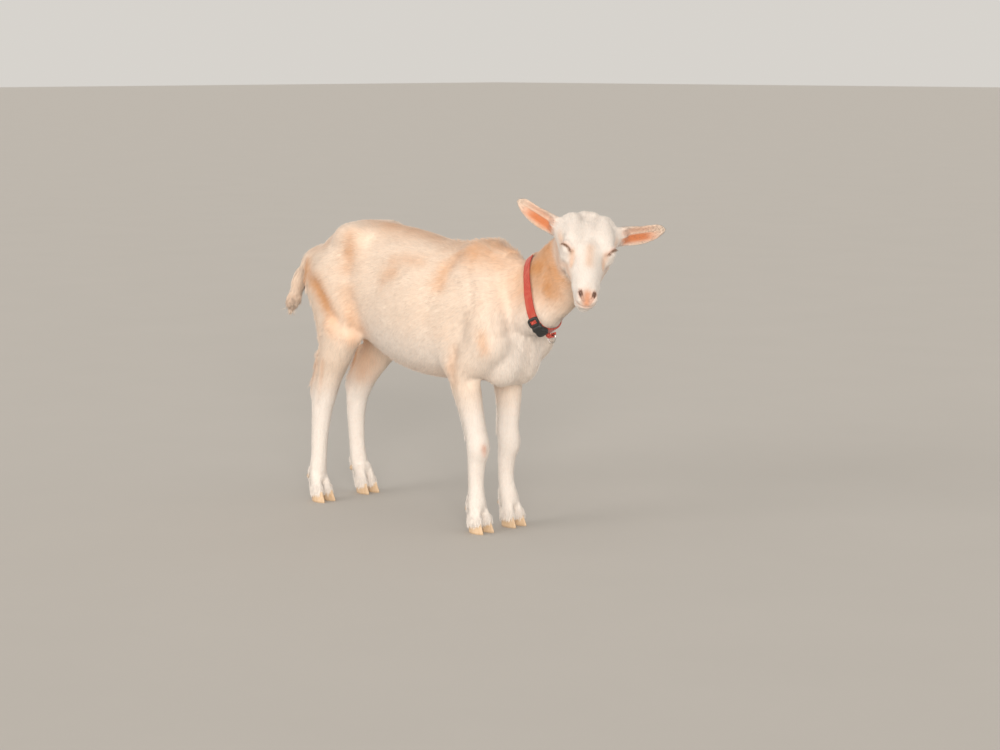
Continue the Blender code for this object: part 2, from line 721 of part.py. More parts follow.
def leg_box(name, s, middle_x, long_x, inner_y, top_point, tilt, room):
    """The region of one leg: below a tilted top face and outside an inner upright face."""
    normal = np.array([np.sin(np.radians(tilt)), 0, np.cos(np.radians(tilt))])
    along = np.array([normal[2], 0, -normal[0]])
    height = 0.5
    width = 0.14
    centre = np.array([middle_x, s * (inner_y + width / 2), 0])
    centre = centre + normal * ((np.array([top_point[0], 0, top_point[1]]) - centre) @ normal)
    centre = centre - normal * height / 2
    size = (long_x + room, width + room, height + room)
    return box_cutter(name, centre, [along, LEFT, normal], size)


LEG_CUTS = {}
for s, side in ((1, "left"), (-1, "right")):
    for leg, args in (
        ("foreleg", (0.235, 0.260, 0.003, (0.20, 0.268), -6.0)),
        ("hindleg", (-0.255, 0.225, 0.003, (-0.20, 0.352), 8.0)),
    ):
        name = leg + "_" + side
        inner = leg_box("cut_" + name, s, *args, -GAP)
        outer = leg_box("room_" + name, s, *args, GAP)
        LEG_CUTS[name] = (s, inner, outer)


# ------------------------------------------------------------------ claws
def coronet_height(x, heel_x, room=0.0):
    """Height of the slanted plane on which hair ends and horn begins."""
    return CLAW_HEEL_HEIGHT + (CLAW_TOE_HEIGHT - CLAW_HEEL_HEIGHT) * (x - heel_x) / CLAW_LENGTH + room


def claw_mesh(name, tip_x, middle_y, outer, turn, sides=14, levels=3):
    """One claw: pointed at the toe, round at the heel, its front wall leaning back."""
    a = np.arange(sides) / sides * 2 * np.pi
    along = 0.5 + 0.5 * np.cos(a)
    narrow = 1 - 0.35 * np.clip((along - 0.35) / 0.65, 0, 1) ** 2
    half = CLAW_WIDTH * 0.5 * np.sin(a) * narrow
    half = np.where(np.sin(a) * outer > 0, half, half * 0.62)
    cosine = np.cos(np.radians(turn))
    sine = np.sin(np.radians(turn))
    heel_x = tip_x - CLAW_LENGTH
    rings = []
    for t in np.linspace(0, 1, levels):
        x = along * CLAW_LENGTH * (1 - 0.25 * t) - 0.001 * t - CLAW_LENGTH
        y = half * (1 - 0.05 * t)
        ground_x = tip_x + x * cosine - y * sine
        ground_y = middle_y + x * sine + y * cosine
        z = coronet_height(ground_x, heel_x) * t
        rings.append(np.stack([ground_x, ground_y, z], 1))
    return shape_mesh(name, rings)


# ------------------------------------------------------------------ legs and feet
def leg_piece(name, leg_tip, y):
    s, inner, outer = LEG_CUTS[name]
    obj = new_object(name, BODY_MESH.copy(), COAT)
    boolean(obj, inner, "INTERSECT")
    lean = np.arctan2(CLAW_TOE_HEIGHT - CLAW_HEEL_HEIGHT, CLAW_LENGTH)
    normal = np.array([np.sin(lean), 0, -np.cos(lean)])
    point = (leg_tip - CLAW_LENGTH, y, CLAW_HEEL_HEIGHT + GAP)
    sole = half_space("sole_" + name, point, normal, LEFT, reach=0.2)
    boolean(obj, sole, "DIFFERENCE")
    return obj


def dewclaw_mesh(name, place, grow):
    """A small blunt cone of horn behind the fetlock."""
    bm = bmesh.new()
    bmesh.ops.create_icosphere(bm, subdivisions=2, radius=1.0)
    lean = Matrix.Rotation(np.radians(28), 4, "Y")
    scale = Matrix.Diagonal(Vector((0.0046 + grow, 0.0050 + grow, 0.0085 + grow, 1)))
    bm.transform(Matrix.Translation(Vector(place)) @ lean @ scale)
    mesh = bpy.data.meshes.new(name)
    bm.to_mesh(mesh)
    bm.free()
    return mesh


FEET = []
for s, side in ((1, "left"), (-1, "right")):
    foot, _, y = FORE_STANCE[s]
    FEET.append(("fore", side, s, FORE_CLAW_TIP + foot, s * y, (0.1950 + foot * 0.6, 0.046)))
    foot, hock, y = HIND_STANCE[s]
    shift = foot + hock * 0.2
    FEET.append(("hind", side, s, HIND_CLAW_TIP + foot, s * y, (-0.2545 + shift, 0.050)))

for which, side, s, tip_x, y, (dew_x, dew_z) in FEET:
    leg = leg_piece(which + "leg_" + side, tip_x, y)
    for k, place in ((1, "outer"), (-1, "inner")):
        label = which + "_" + side + "_" + place
        middle = y + s * k * CLAW_SPREAD
        new_object("hoof_" + label, claw_mesh("hoof_" + label, tip_x, middle, s * k, s * k * 8), CLAW)
        spot = (dew_x, y + s * k * 0.0105, dew_z)
        new_object("dewclaw_" + label, dewclaw_mesh("dewclaw_" + label, spot, 0), DEWCLAW)
        pocket = cutter(new_object("pocket_" + label, dewclaw_mesh("pocket_" + label, spot, GAP)))
        boolean(leg, pocket, "DIFFERENCE")

# ------------------------------------------------------------------ collar
def neck_girth(angle, offset):
    """Distance from the collar's middle line to the coat, in one direction round the neck."""
    ray = COLLAR_UP * np.cos(angle) + LEFT * np.sin(angle)
    start = COLLAR_MIDDLE + COLLAR_OUT * offset
    steps = np.linspace(0.02, 0.11, 361)
    level = FORM(start + steps[:, None] * ray)
    hit = np.argmax(level > 0)
    return steps[hit]


def collar_point(angle, radius, offset):
    ray = COLLAR_UP * np.cos(angle) + LEFT * np.sin(angle)
    return COLLAR_MIDDLE + COLLAR_OUT * offset + ray * radius


COLLAR_STEPS = 44
collar_angles = np.arange(COLLAR_STEPS) / COLLAR_STEPS * 2 * np.pi
half = COLLAR_WIDTH / 2
back = np.array([neck_girth(a, -half) for a in collar_angles])
front = np.array([neck_girth(a, half) for a in collar_angles])


def girth_at(angle, offset):
    """The coat's distance between the two measured edges of the collar, at any angle."""
    where = np.mod(angle, 2 * np.pi)
    turn = np.append(collar_angles, 2 * np.pi)
    low = np.interp(where, turn, np.append(back, back[0]))
    high = np.interp(where, turn, np.append(front, front[0]))
    return low + (high - low) * (offset + half) / COLLAR_WIDTH


def band_rings(inner, outer, half_width):
    rings = []
    for angle in collar_angles:
        corners = ((inner, -half_width), (inner, half_width), (outer, half_width), (outer, -half_width))
        rings.append([collar_point(angle, girth_at(angle, o) + r, o) for r, o in corners])
    return rings


band_in = -COLLAR_SINK
band_out = COLLAR_THICKNESS - COLLAR_SINK
webbing_mesh = shape_mesh("collar_webbing", band_rings(band_in, band_out, half), closed=True)
new_object("collar_webbing", webbing_mesh, WEBBING, sharp=50)
groove_mesh = shape_mesh("groove", band_rings(band_in - GAP, 0.012, half + GAP), closed=True)
groove = cutter(new_object("cut_groove", groove_mesh))


def block_on_collar(name, start, end, width, low, high, mat, steps=9):
    """A curved block that lies along the outside of the webbing, narrower at both ends."""
    rings = []
    for i, degrees in enumerate(np.linspace(start, end, steps)):
        angle = np.radians(degrees)
        t = abs(2 * i / (steps - 1) - 1)
        wide = width / 2 * (1 - 0.10 * t ** 4)
        top = low + (high - low) * (1 - 0.45 * t ** 4)
        corners = ((low, -wide), (low, wide), (top - 0.0018, wide), (top, wide - 0.003),
                   (top, -wide + 0.003), (top - 0.0018, -wide))
        rings.append([collar_point(angle, girth_at(angle, o) + r, o) for r, o in corners])
    return new_object(name, shape_mesh(name, rings), mat)


buckle_low = band_out + GAP
block_on_collar("collar_buckle", BUCKLE_FROM, BUCKLE_TO, BUCKLE_WIDTH,
                buckle_low, buckle_low + BUCKLE_THICKNESS, BUCKLE)

ring_angle = np.radians(RING_ANGLE)
ring_seat = max(girth_at(ring_angle + turn, o) for turn in (-0.1, 0.1) for o in (-0.007, 0.007))
ring_base = ring_seat + band_out + 2 * GAP
ring_out = unit(collar_point(ring_angle, 1.0, 0.0) - collar_point(ring_angle, 0.0, 0.0))
ring_along = np.cross(ring_out, COLLAR_OUT)


def ring_frame(out, along, across):
    """A point near the ring: out from the webbing, along the strap, across the strap."""
    return collar_point(ring_angle, ring_base + out, across) + ring_along * along


def d_ring_mesh(name, sides=6, steps=22):
    """A D of round wire: a straight bar across the strap and a half circle hanging from it."""
    half_wide = RING_WIDTH / 2
    path = []
    for t in np.linspace(0, 1, steps, endpoint=False):
        angle = 2 * np.pi * t
        across = half_wide * np.cos(angle)
        out = np.sin(angle)
        out = half_wide * 1.15 * out if out > 0 else 0.0022 * out
        path.append(ring_frame(0.0068 + out, 0.0, across))
    path = np.array(path)
    rings = []
    for i in range(steps):
        ahead = unit(path[(i + 1) % steps] - path[i - 1])
        thick = np.cross(ahead, ring_along)
        angles = np.arange(sides) / sides * 2 * np.pi
        rings.append([path[i] + RING_WIRE * (np.cos(a) * thick + np.sin(a) * ring_along) for a in angles])
    return shape_mesh(name, rings, closed=True)


new_object("collar_ring", d_ring_mesh("collar_ring"), STEEL)

# a short sleeve of webbing over the ring's bar, open from side to side
sleeve = []
for across in (-0.0062, 0.0062):
    outline = []
    for a in np.linspace(0, np.pi, 9):
        outline.append((0.0096 * np.sin(a) * 1.0, 0.0085 * np.cos(a)))
    for a in np.linspace(np.pi, 0, 9):
        outline.append((0.0078 * np.sin(a) * 0.98, 0.0068 * np.cos(a)))
    sleeve.append([ring_frame(out, along, across) for out, along in outline])
new_object("collar_loop", shape_mesh("collar_loop", sleeve), WEBBING, sharp=50)

# ------------------------------------------------------------------ trunk, neck, tail
trunk = new_object("trunk", BODY_MESH.copy(), COAT)
boolean(trunk, trunk_end, "DIFFERENCE")
boolean(trunk, tail_room, "DIFFERENCE")
for name, (s, inner, outer) in LEG_CUTS.items():
    boolean(trunk, outer, "DIFFERENCE")

neck = new_object("neck", BODY_MESH.copy(), COAT)
boolean(neck, neck_side, "INTERSECT")
boolean(neck, neck_end, "DIFFERENCE")
boolean(neck, groove, "DIFFERENCE")

tail = new_object("tail", BODY_MESH.copy(), COAT)
boolean(tail, tail_box, "INTERSECT")

# ------------------------------------------------------------------ head, ears, eyes
head = new_object("head", HEAD_MESH, COAT)
boolean(head, head_side, "INTERSECT")

for s, base, tip, opening, length in EARS:
    side = "left" if s > 0 else "right"
    out = head_direction(*tip)
    cup = head_direction(*opening)
    across = unit(np.cross(cup, out))
    third = np.cross(out, across)
    start = on_head(*base) + out * EAR_CUT
    ear_mesh = ear_leaf_mesh("ear_" + side, on_head(*base), out, cup, length)
    new_object("ear_" + side, ear_mesh, EAR_COAT, sharp=60)
    middle = start + out * 0.07
    room = box_cutter("room_ear_" + side, middle, [out, across, third], (0.14 + GAP, 0.08 + GAP, 0.08 + GAP))
    boolean(head, room, "DIFFERENCE")
    boolean(neck, room, "DIFFERENCE")

for s, side in ((1, "left"), (-1, "right")):
    u, v, w = EYE_CENTRE
    place = Vector(on_head(u, s * v, w))
    for name, radius, mat in (("eye_" + side, EYE_RADIUS, EYE), ("socket_" + side, EYE_RADIUS + GAP, None)):
        bm = bmesh.new()
        bmesh.ops.create_icosphere(bm, subdivisions=2, radius=radius)
        bm.transform(Matrix.Translation(place))
        mesh = bpy.data.meshes.new(name)
        bm.to_mesh(mesh)
        bm.free()
        ball = new_object(name, mesh, mat)
    cutter(ball)
    boolean(head, ball, "DIFFERENCE")
    # the gap between the closed lids, from the outer corner up at the side to the inner corner
    gaze = head_direction(0.05, s * 0.78, 0.62)
    lids = head_direction(0.015, -s * 0.016, 0.014)
    lids = unit(lids - (lids @ gaze) * gaze)
    slit = box_cutter("slit_" + side, np.array(place) + gaze * 0.016,
                      [gaze, lids, np.cross(gaze, lids)], (0.020, 0.017, 0.0014))
    boolean(head, slit, "DIFFERENCE")

# ------------------------------------------------------------------ origin under the middle
for obj in bpy.data.objects:
    obj.location = (-BOX_MIDDLE[0], -BOX_MIDDLE[1], 0)
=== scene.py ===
# %% [markdown]
# # A young goat, standing
#
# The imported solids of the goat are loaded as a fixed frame: they give its size, its outline out to the
# tips of the coat, and the places of eyes, claws and collar. This lesson dresses that frame. One skin is
# worked out as a smooth implicit form, a coat of small solid tufts is combed over it, and the pieces that
# are not flesh (eyes, claws, collar) are made on their own.

# %% Load the frame
import bpy
import json
import numpy as np
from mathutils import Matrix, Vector

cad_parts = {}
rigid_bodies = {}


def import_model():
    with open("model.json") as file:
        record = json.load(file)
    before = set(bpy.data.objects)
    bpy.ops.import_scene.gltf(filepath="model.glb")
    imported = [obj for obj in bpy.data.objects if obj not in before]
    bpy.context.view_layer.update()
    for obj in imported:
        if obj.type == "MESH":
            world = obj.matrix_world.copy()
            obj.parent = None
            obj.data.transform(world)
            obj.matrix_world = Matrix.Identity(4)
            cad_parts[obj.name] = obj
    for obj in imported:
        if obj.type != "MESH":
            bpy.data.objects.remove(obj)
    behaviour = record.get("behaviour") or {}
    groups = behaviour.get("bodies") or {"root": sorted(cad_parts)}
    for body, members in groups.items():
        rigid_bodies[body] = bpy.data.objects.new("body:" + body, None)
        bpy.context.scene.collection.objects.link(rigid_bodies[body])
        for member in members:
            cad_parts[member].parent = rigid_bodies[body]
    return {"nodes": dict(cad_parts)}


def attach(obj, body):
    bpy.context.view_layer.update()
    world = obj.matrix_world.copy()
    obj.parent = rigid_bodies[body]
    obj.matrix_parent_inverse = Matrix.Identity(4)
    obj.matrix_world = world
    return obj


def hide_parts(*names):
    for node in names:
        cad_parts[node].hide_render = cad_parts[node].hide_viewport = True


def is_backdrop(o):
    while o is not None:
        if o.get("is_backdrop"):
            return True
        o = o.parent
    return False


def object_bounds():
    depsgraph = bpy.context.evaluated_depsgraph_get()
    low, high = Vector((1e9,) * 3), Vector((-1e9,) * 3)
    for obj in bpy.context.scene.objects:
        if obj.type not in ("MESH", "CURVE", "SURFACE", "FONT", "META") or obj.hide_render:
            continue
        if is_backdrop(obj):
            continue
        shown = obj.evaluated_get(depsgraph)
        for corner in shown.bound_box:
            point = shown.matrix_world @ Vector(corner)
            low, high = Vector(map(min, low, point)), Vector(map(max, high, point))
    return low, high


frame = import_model()
cad_low, cad_high = [list(corner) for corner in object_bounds()]
print("nodes", len(frame["nodes"]), "box", cad_low, cad_high)

# %% [markdown]
# ## The shared measures
#
# The body is described in the maker's frame, with the origin on the ground between the feet. The packed
# frame has its origin under the middle of the whole animal, so finished points are shifted by one vector.
# The head has axes of its own: u runs down the face, v to its left, w out of the forehead.

# %% Frames of the body and the head
SHIFT = np.array([-0.0662, -0.0191, 0.0])
LEFT = np.array([0.0, 1.0, 0.0])
POLL = np.array([0.458, 0.0, 0.622])


def unit(vectors):
    """Vectors divided by their own length, row by row."""
    vectors = np.asarray(vectors, float)
    return vectors / np.maximum(np.linalg.norm(vectors, axis=-1, keepdims=True), 1e-12)


def head_axes(yaw=-49.0, pitch=54.7, roll=-12.4):
    """u is forward turned by yaw and dipped by pitch; v and w are level and upright turned by roll."""
    yaw, pitch, roll = np.radians([yaw, pitch, roll])
    u = np.array([np.cos(pitch) * np.cos(yaw), np.cos(pitch) * np.sin(yaw), -np.sin(pitch)])
    level = np.array([-np.sin(yaw), np.cos(yaw), 0.0])
    out = np.cross(u, level)
    v = level * np.cos(roll) + out * np.sin(roll)
    w = -level * np.sin(roll) + out * np.cos(roll)
    return np.array([u, v, w])


HEAD = head_axes()


def on_head(u, v, w):
    """The poll plus u, v and w along the head's three axes."""
    return POLL + np.array([u, v, w]) @ HEAD


def smooth_step(low, high, x):
    """0 below low, 1 above high, and 3t^2 - 2t^3 between, t being the fraction of the way."""
    t = np.clip((x - low) / (high - low), 0, 1)
    return t * t * (3 - 2 * t)


print("head axes", HEAD.round(3).tolist())

# %% [markdown]
# ## Flesh as an implicit form
#
# An animal has no hard joins, so its flesh is easier to add up than to model face by face. Each muscle is
# a field: negative inside, zero on its surface. Two fields are joined by taking the lower one and rounding
# the crease over a blend length. Sweeps make limbs and trunk, ellipsoids make muscle bellies, and a cupped
# leaf makes an ear. The same stations and sizes built the solids of the frame.

# %% Joining and cutting fields
def smooth_join(a, b, blend):
    """The lower of a and b, less h^2 * blend / 4, where h falls from 1 at a = b to 0 at |a - b| = blend."""
    h = np.maximum(blend - np.abs(a - b), 0.0) / blend
    return np.minimum(a, b) - h * h * blend / 4.0


def smooth_cut(a, b, blend):
    """The form a with the form b taken away, the new edge rounded over the blend length."""
    return -smooth_join(-a, b, blend)


def through_stations(rows, per_span):
    """Catmull-Rom curve: between two stations, a cubic whose slopes come from their neighbours."""
    rows = np.asarray(rows, float)
    ends = np.vstack([2 * rows[0] - rows[1], rows, 2 * rows[-1] - rows[-2]])
    a, b, c, d = ends[:-3], ends[1:-2], ends[2:-1], ends[3:]
    t = (np.arange(per_span) / per_span)[None, :, None]
    a, b, c, d = [part[:, None, :] for part in (a, b, c, d)]
    curve = 0.5 * (2 * b + (c - a) * t + (2 * a - 5 * b + 4 * c - d) * t ** 2
                   + (3 * b - a - 3 * c + d) * t ** 3)
    return np.vstack([curve.reshape(-1, rows.shape[1]), rows[-1]])


# %% A limb: ellipses carried along a curve
class Sweep:
    """Distance, roughly, to the nearest ellipse along a curve: size * (size - 1) / slope of the quadric."""

    def __init__(self, rows, across=LEFT, per_span=3, cap=1.0):
        rows = through_stations(rows, per_span)
        self.centre, self.depth, self.width = rows[:, :3], rows[:, 3], rows[:, 4]
        self.across, self.cap = unit(across), cap
        reach = max(self.depth.max(), self.width.max())
        self.low, self.high = self.centre.min(0) - reach, self.centre.max(0) + reach

    def __call__(self, p):
        best, size, slope = np.full(len(p), np.inf), np.empty(len(p)), np.empty(len(p))
        for i in range(len(self.centre) - 1):
            span = self.centre[i + 1] - self.centre[i]
            along = unit(span)
            side = unit(self.across - (self.across @ along) * along)
            rel = p - self.centre[i]
            t = np.clip(rel @ span / (span @ span), 0, 1)
            off = rel - t[:, None] * span
            away = np.einsum("ij,ij->i", off, off)
            near = away < best
            if not near.any():
                continue
            off, t = off[near], t[near]
            d = self.depth[i] + (self.depth[i + 1] - self.depth[i]) * t
            w = self.width[i] + (self.width[i + 1] - self.width[i]) * t
            end = np.minimum(d, w) * self.cap
            a, b, c = off @ side, off @ np.cross(along, side), off @ along
            best[near] = away[near]
            size[near] = np.sqrt((a / w) ** 2 + (b / d) ** 2 + (c / end) ** 2) + 1e-9
            slope[near] = np.sqrt((a / w ** 2) ** 2 + (b / d ** 2) ** 2 + (c / end ** 2) ** 2) + 1e-9
        return size * (size - 1) / slope


# %% A muscle belly, a straight limb, an ear
class Egg:
    """Ellipsoid: with q the place over the radii, |q| * (|q| - 1) / |q over the radii|."""

    def __init__(self, centre, radii, axes=None):
        self.centre, self.radii = np.asarray(centre, float), np.asarray(radii, float)
        self.axes = np.eye(3) if axes is None else axes
        self.low, self.high = self.centre - self.radii.max(), self.centre + self.radii.max()

    def __call__(self, p):
        q = (p - self.centre) @ self.axes.T / self.radii
        size = np.sqrt((q * q).sum(1)) + 1e-9
        return size * (size - 1) / (np.sqrt(((q / self.radii) ** 2).sum(1)) + 1e-9)


def bar(a, b, radius_a, radius_b, flat=1.0, across=LEFT):
    """A sweep with two ends and one middle station."""
    ends = np.array([[*a, radius_a, radius_a * flat], [*b, radius_b, radius_b * flat]], float)
    return Sweep([ends[0], ends.mean(0), ends[1]], across, per_span=1)


EAR_HALF_WIDTH, EAR_CUP, EAR_THICK = 0.0205, 0.013, 0.0028


class EarLeaf:
    """Distance to a curved sheet less its half thickness; the sheet rises as a parabola to both rims."""

    def __init__(self, base, tip_way, opening, length, crown=1):
        self.base, self.along, self.length, self.crown = np.asarray(base, float), unit(tip_way), length, crown
        self.open = unit(opening - (opening @ self.along) * self.along)
        self.side = np.cross(self.open, self.along)
        ends = np.array([self.base, self.base + self.along * length])
        self.low, self.high = ends.min(0) - EAR_HALF_WIDTH * 1.6, ends.max(0) + EAR_HALF_WIDTH * 1.6

    def place(self, p):
        """The point's place along the ear, across it, and towards its opening."""
        rel = p - self.base
        return rel @ self.along, rel @ self.side, rel @ self.open

    def bowl(self, t, x):
        """How far the sheet rises towards the opening, at t across and the fraction x along."""
        return EAR_CUP * ((t / EAR_HALF_WIDTH) ** 2 - 0.30) * (1.15 - 0.65 * x) + 0.004 * x * x

    def half_width(self, x):
        """A sine swell on a narrow root, closed by a blunt root of one less x to the twelfth."""
        swell = 0.56 + 0.44 * np.sin(np.pi * np.clip(x / 0.98, 0, 1)) ** 0.9
        return np.maximum(EAR_HALF_WIDTH * swell * np.sqrt(np.clip(1 - x ** 12, 0, 1)), EAR_THICK + 0.0006)

    def __call__(self, p):
        s, t, n = self.place(p)
        s_in = np.clip(s, 0, self.length - EAR_THICK)
        x = s_in / self.length
        half = self.half_width(x) - EAR_THICK
        drawn = half * (1 - 0.34 * np.exp(-((x - 0.58) / 0.22) ** 2))
        t_in = np.clip(t * self.crown, -half, drawn) * self.crown
        lean = 2 * EAR_CUP * np.abs(t_in) / EAR_HALF_WIDTH ** 2
        dn = n - self.bowl(t_in, x)
        gap = (t - t_in) ** 2 + dn ** 2 / (1 + lean ** 2) + (s - s_in) ** 2
        return np.sqrt(gap) - EAR_THICK * (1 - 0.22 * x)


# %% A form: shapes joined one after another
READING_REACH = 0.03    # beyond its blend, a shape this far away is not read


class Form:
    """Starts far outside; each shape within reach is joined with its own blend length."""

    def __init__(self):
        self.shapes = []

    def add(self, shape, blend):
        self.shapes.append((shape, blend))

    def __call__(self, p):
        total = np.full(len(p), 1.0)
        low, high = p.min(0), p.max(0)
        for shape, blend in self.shapes:
            reach = blend + READING_REACH
            if (shape.low - reach > high).any() or (shape.high + reach < low).any():
                continue
            near = ((p > shape.low - reach) & (p < shape.high + reach)).all(1)
            if near.any():
                total[near] = smooth_join(total[near], shape(p[near]), blend)
        return total


# %% [markdown]
# ## Trunk, neck and tail
#
# A goat's barrel is deepest behind the elbows and rises to the croup, which is a little higher than the
# withers. Its neck is deep and narrow, and meets a breast that juts out over the forelegs.

# %% Trunk, neck, breast, croup, tail
TRUNK = [  # x, top, bottom, half width
    (-0.262, 0.522, 0.430, 0.050), (-0.232, 0.549, 0.395, 0.065), (-0.190, 0.571, 0.365, 0.076),
    (-0.145, 0.578, 0.348, 0.080), (-0.100, 0.577, 0.330, 0.080), (-0.050, 0.572, 0.308, 0.087),
    (0.000, 0.564, 0.290, 0.096), (0.050, 0.554, 0.281, 0.101), (0.100, 0.548, 0.280, 0.098),
    (0.150, 0.549, 0.284, 0.088), (0.200, 0.551, 0.284, 0.074), (0.235, 0.540, 0.292, 0.060)]
NECK = [  # x, y, z, half depth, half width
    (0.200, 0.000, 0.450, 0.092, 0.056), (0.255, 0.000, 0.445, 0.081, 0.047),
    (0.308, 0.000, 0.456, 0.067, 0.034), (0.358, 0.000, 0.479, 0.067, 0.034),
    (0.403, 0.002, 0.519, 0.064, 0.036), (0.430, 0.008, 0.562, 0.049, 0.038)]
TAIL = [
    (-0.265, 0, 0.503, 0.0160, 0.0200), (-0.305, 0, 0.499, 0.0125, 0.0160),
    (-0.334, 0, 0.487, 0.0095, 0.0115), (-0.352, 0, 0.460, 0.0080, 0.0100),
    (-0.366, 0, 0.428, 0.0130, 0.0130), (-0.380, 0, 0.400, 0.0130, 0.0140),
    (-0.391, 0, 0.379, 0.0060, 0.0070)]


def add_trunk(form):
    """Barrel, neck and tail are sweeps; breast, shoulder points and hips are eggs, mirrored by the sign s."""
    form.add(Sweep([(x, 0, (top + low) / 2, (top - low) / 2, half) for x, top, low, half in TRUNK]), 0.010)
    form.add(Sweep(NECK), 0.035)
    form.add(Egg((0.245, 0, 0.352), (0.054, 0.052, 0.060)), 0.03)
    for s in (-1, 1):
        form.add(Egg((0.328, s * 0.012, 0.430), (0.045, 0.026, 0.040)), 0.02)
        form.add(Egg((0.256, s * 0.028, 0.330), (0.040, 0.030, 0.042)), 0.035)
        form.add(Egg((-0.135, s * 0.054, 0.545), (0.034, 0.020, 0.022)), 0.045)
    form.add(Sweep(TAIL), 0.012)


# %% [markdown]
# ## Legs
#
# Each leg is a chain of sweeps: the broad muscles at the top melt into the trunk, the cannon bone is thin
# and nearly round, knee and fetlock swell, and the foot parts into two toes. The four feet stand a little
# differently, which three numbers for each foot describe.

# %% Forelegs
FORE_STANCE = {-1: (0.000, 0.000, 0.0450), 1: (0.001, -0.006, 0.0420)}  # foot x, cannon x, foot y
HIND_STANCE = {-1: (0.000, 0.009, 0.0600), 1: (-0.002, -0.021, 0.0620)}


def add_toes(form, y, rows):
    """Two sweeps side by side; a row is x, distance from the foot's middle y, z, half depth, half width."""
    for k in (-1, 1):
        form.add(Sweep([(x, y + k * aside, *rest) for x, aside, *rest in rows], cap=0.4), 0.005)


def add_foreleg(form, s):
    """Shoulder blade, upper arm, elbow, then one sweep from forearm to fetlock, and the toes."""
    foot, cannon, y = FORE_STANCE[s]
    y = s * y
    form.add(Sweep([
        (0.185, s * 0.030, 0.528, 0.030, 0.018), (0.215, s * 0.048, 0.470, 0.048, 0.028),
        (0.250, s * 0.060, 0.400, 0.046, 0.032), (0.260, s * 0.060, 0.372, 0.036, 0.030)]), 0.025)
    form.add(Sweep([
        (0.255, s * 0.058, 0.375, 0.040, 0.030), (0.225, s * 0.062, 0.345, 0.042, 0.032),
        (0.186, s * 0.060, 0.312, 0.034, 0.027)]), 0.02)
    form.add(bar((0.165, s * 0.060, 0.430), (0.166, s * 0.062, 0.330), 0.042, 0.028, 0.6), 0.03)
    form.add(Sweep([
        (0.184, s * 0.060, 0.325, 0.0360, 0.0280),
        (0.192 + cannon * 0.2, s * 0.057, 0.285, 0.0340, 0.0270),
        (0.202 + cannon * 0.5, s * 0.052, 0.235, 0.0270, 0.0225),
        (0.210 + cannon, y + s * 0.002, 0.190, 0.0235, 0.0212),
        (0.2145 + cannon, y + s * 0.001, 0.162, 0.0245, 0.0225),
        (0.2095 + cannon, y, 0.135, 0.0202, 0.0186), (0.207 + cannon, y, 0.100, 0.0180, 0.0158),
        (0.208 + cannon * 0.7 + foot * 0.2, y, 0.075, 0.0186, 0.0164),
        (0.209 + foot * 0.6, y, 0.054, 0.0200, 0.0194),
        (0.2125 + foot, y, 0.042, 0.0160, 0.0165)], cap=0.5), 0.012)
    add_toes(form, y, [
        (0.209 + foot, 0.0080, 0.052, 0.0140, 0.0105), (0.2135 + foot, 0.0105, 0.037, 0.0165, 0.0105),
        (0.2165 + foot, 0.0128, 0.024, 0.0180, 0.0112), (0.2185 + foot, 0.0135, 0.014, 0.0175, 0.0105)])


# %% Hind legs
def add_hindleg(form, s):
    """Thigh and ham bars, one sweep from stifle to fetlock, the tendon to the heel, and the toes."""
    foot, hock, y = HIND_STANCE[s]
    y = s * y
    form.add(bar((-0.205, s * 0.040, 0.462), (-0.144, s * 0.059, 0.370), 0.074, 0.043, 0.60), 0.03)
    form.add(bar((-0.262, s * 0.034, 0.490), (-0.205, s * 0.055, 0.345), 0.024, 0.028, 0.75), 0.03)
    form.add(Sweep([
        (-0.152, s * 0.064, 0.355, 0.0460, 0.0365),
        (-0.180 + hock * 0.2, s * 0.062, 0.305, 0.0400, 0.0310),
        (-0.206 + hock * 0.6, s * 0.060, 0.258, 0.0310, 0.0250),
        (-0.227 + hock, y - s * 0.001, 0.214, 0.0280, 0.0225),
        (-0.235 + hock, y - s * 0.001, 0.180, 0.0240, 0.0200),
        (-0.239 + hock * 0.9, y, 0.135, 0.0205, 0.0168), (-0.2405 + hock * 0.7, y, 0.095, 0.0192, 0.0162),
        (-0.2405 + foot + hock * 0.3, y, 0.062, 0.0196, 0.0178),
        (-0.2355 + foot, y, 0.045, 0.0160, 0.0162)], cap=0.5), 0.02)
    heel = (-0.250 + hock, y - s * 0.001, 0.222)
    form.add(bar((-0.224 + hock * 0.5, s * 0.060, 0.300), heel, 0.015, 0.0115, 0.8), 0.02)
    add_toes(form, y, [
        (-0.239 + foot, 0.0080, 0.056, 0.0140, 0.0105), (-0.2325 + foot, 0.0105, 0.039, 0.0160, 0.0102),
        (-0.2285 + foot, 0.0120, 0.025, 0.0162, 0.0103), (-0.2260 + foot, 0.0125, 0.014, 0.0155, 0.0098)])


# %% [markdown]
# ## Head
#
# The skull is a sweep down the face. Brows, cheekbones, jaw, the round of each eye, the bridge of the
# nose, nostril wings, lips and chin are lumps and ridges on it, and the ears stand out on short roots.

# %% Skull, face and ears
SKULL = [  # u, top, bottom, half width
    (0.012, -0.010, -0.082, 0.0340), (0.035, 0.001, -0.090, 0.0450), (0.058, 0.006, -0.086, 0.0465),
    (0.080, 0.005, -0.073, 0.0410), (0.105, -0.001, -0.060, 0.0330), (0.130, -0.005, -0.052, 0.0265),
    (0.155, -0.0085, -0.048, 0.0225), (0.172, -0.0125, -0.0465, 0.0200)]
EARS = {
    1: EarLeaf(on_head(0.034, 0.044, -0.030), np.array([-0.038, 0.094, -0.016]) @ HEAD,
               np.array([0.75, 0.0, 0.66]) @ HEAD, 0.113),
    -1: EarLeaf(on_head(0.032, -0.042, -0.030), np.array([-0.078, -0.085, -0.036]) @ HEAD,
                np.array([0.80, -0.3, 0.60]) @ HEAD, 0.116, crown=-1)}


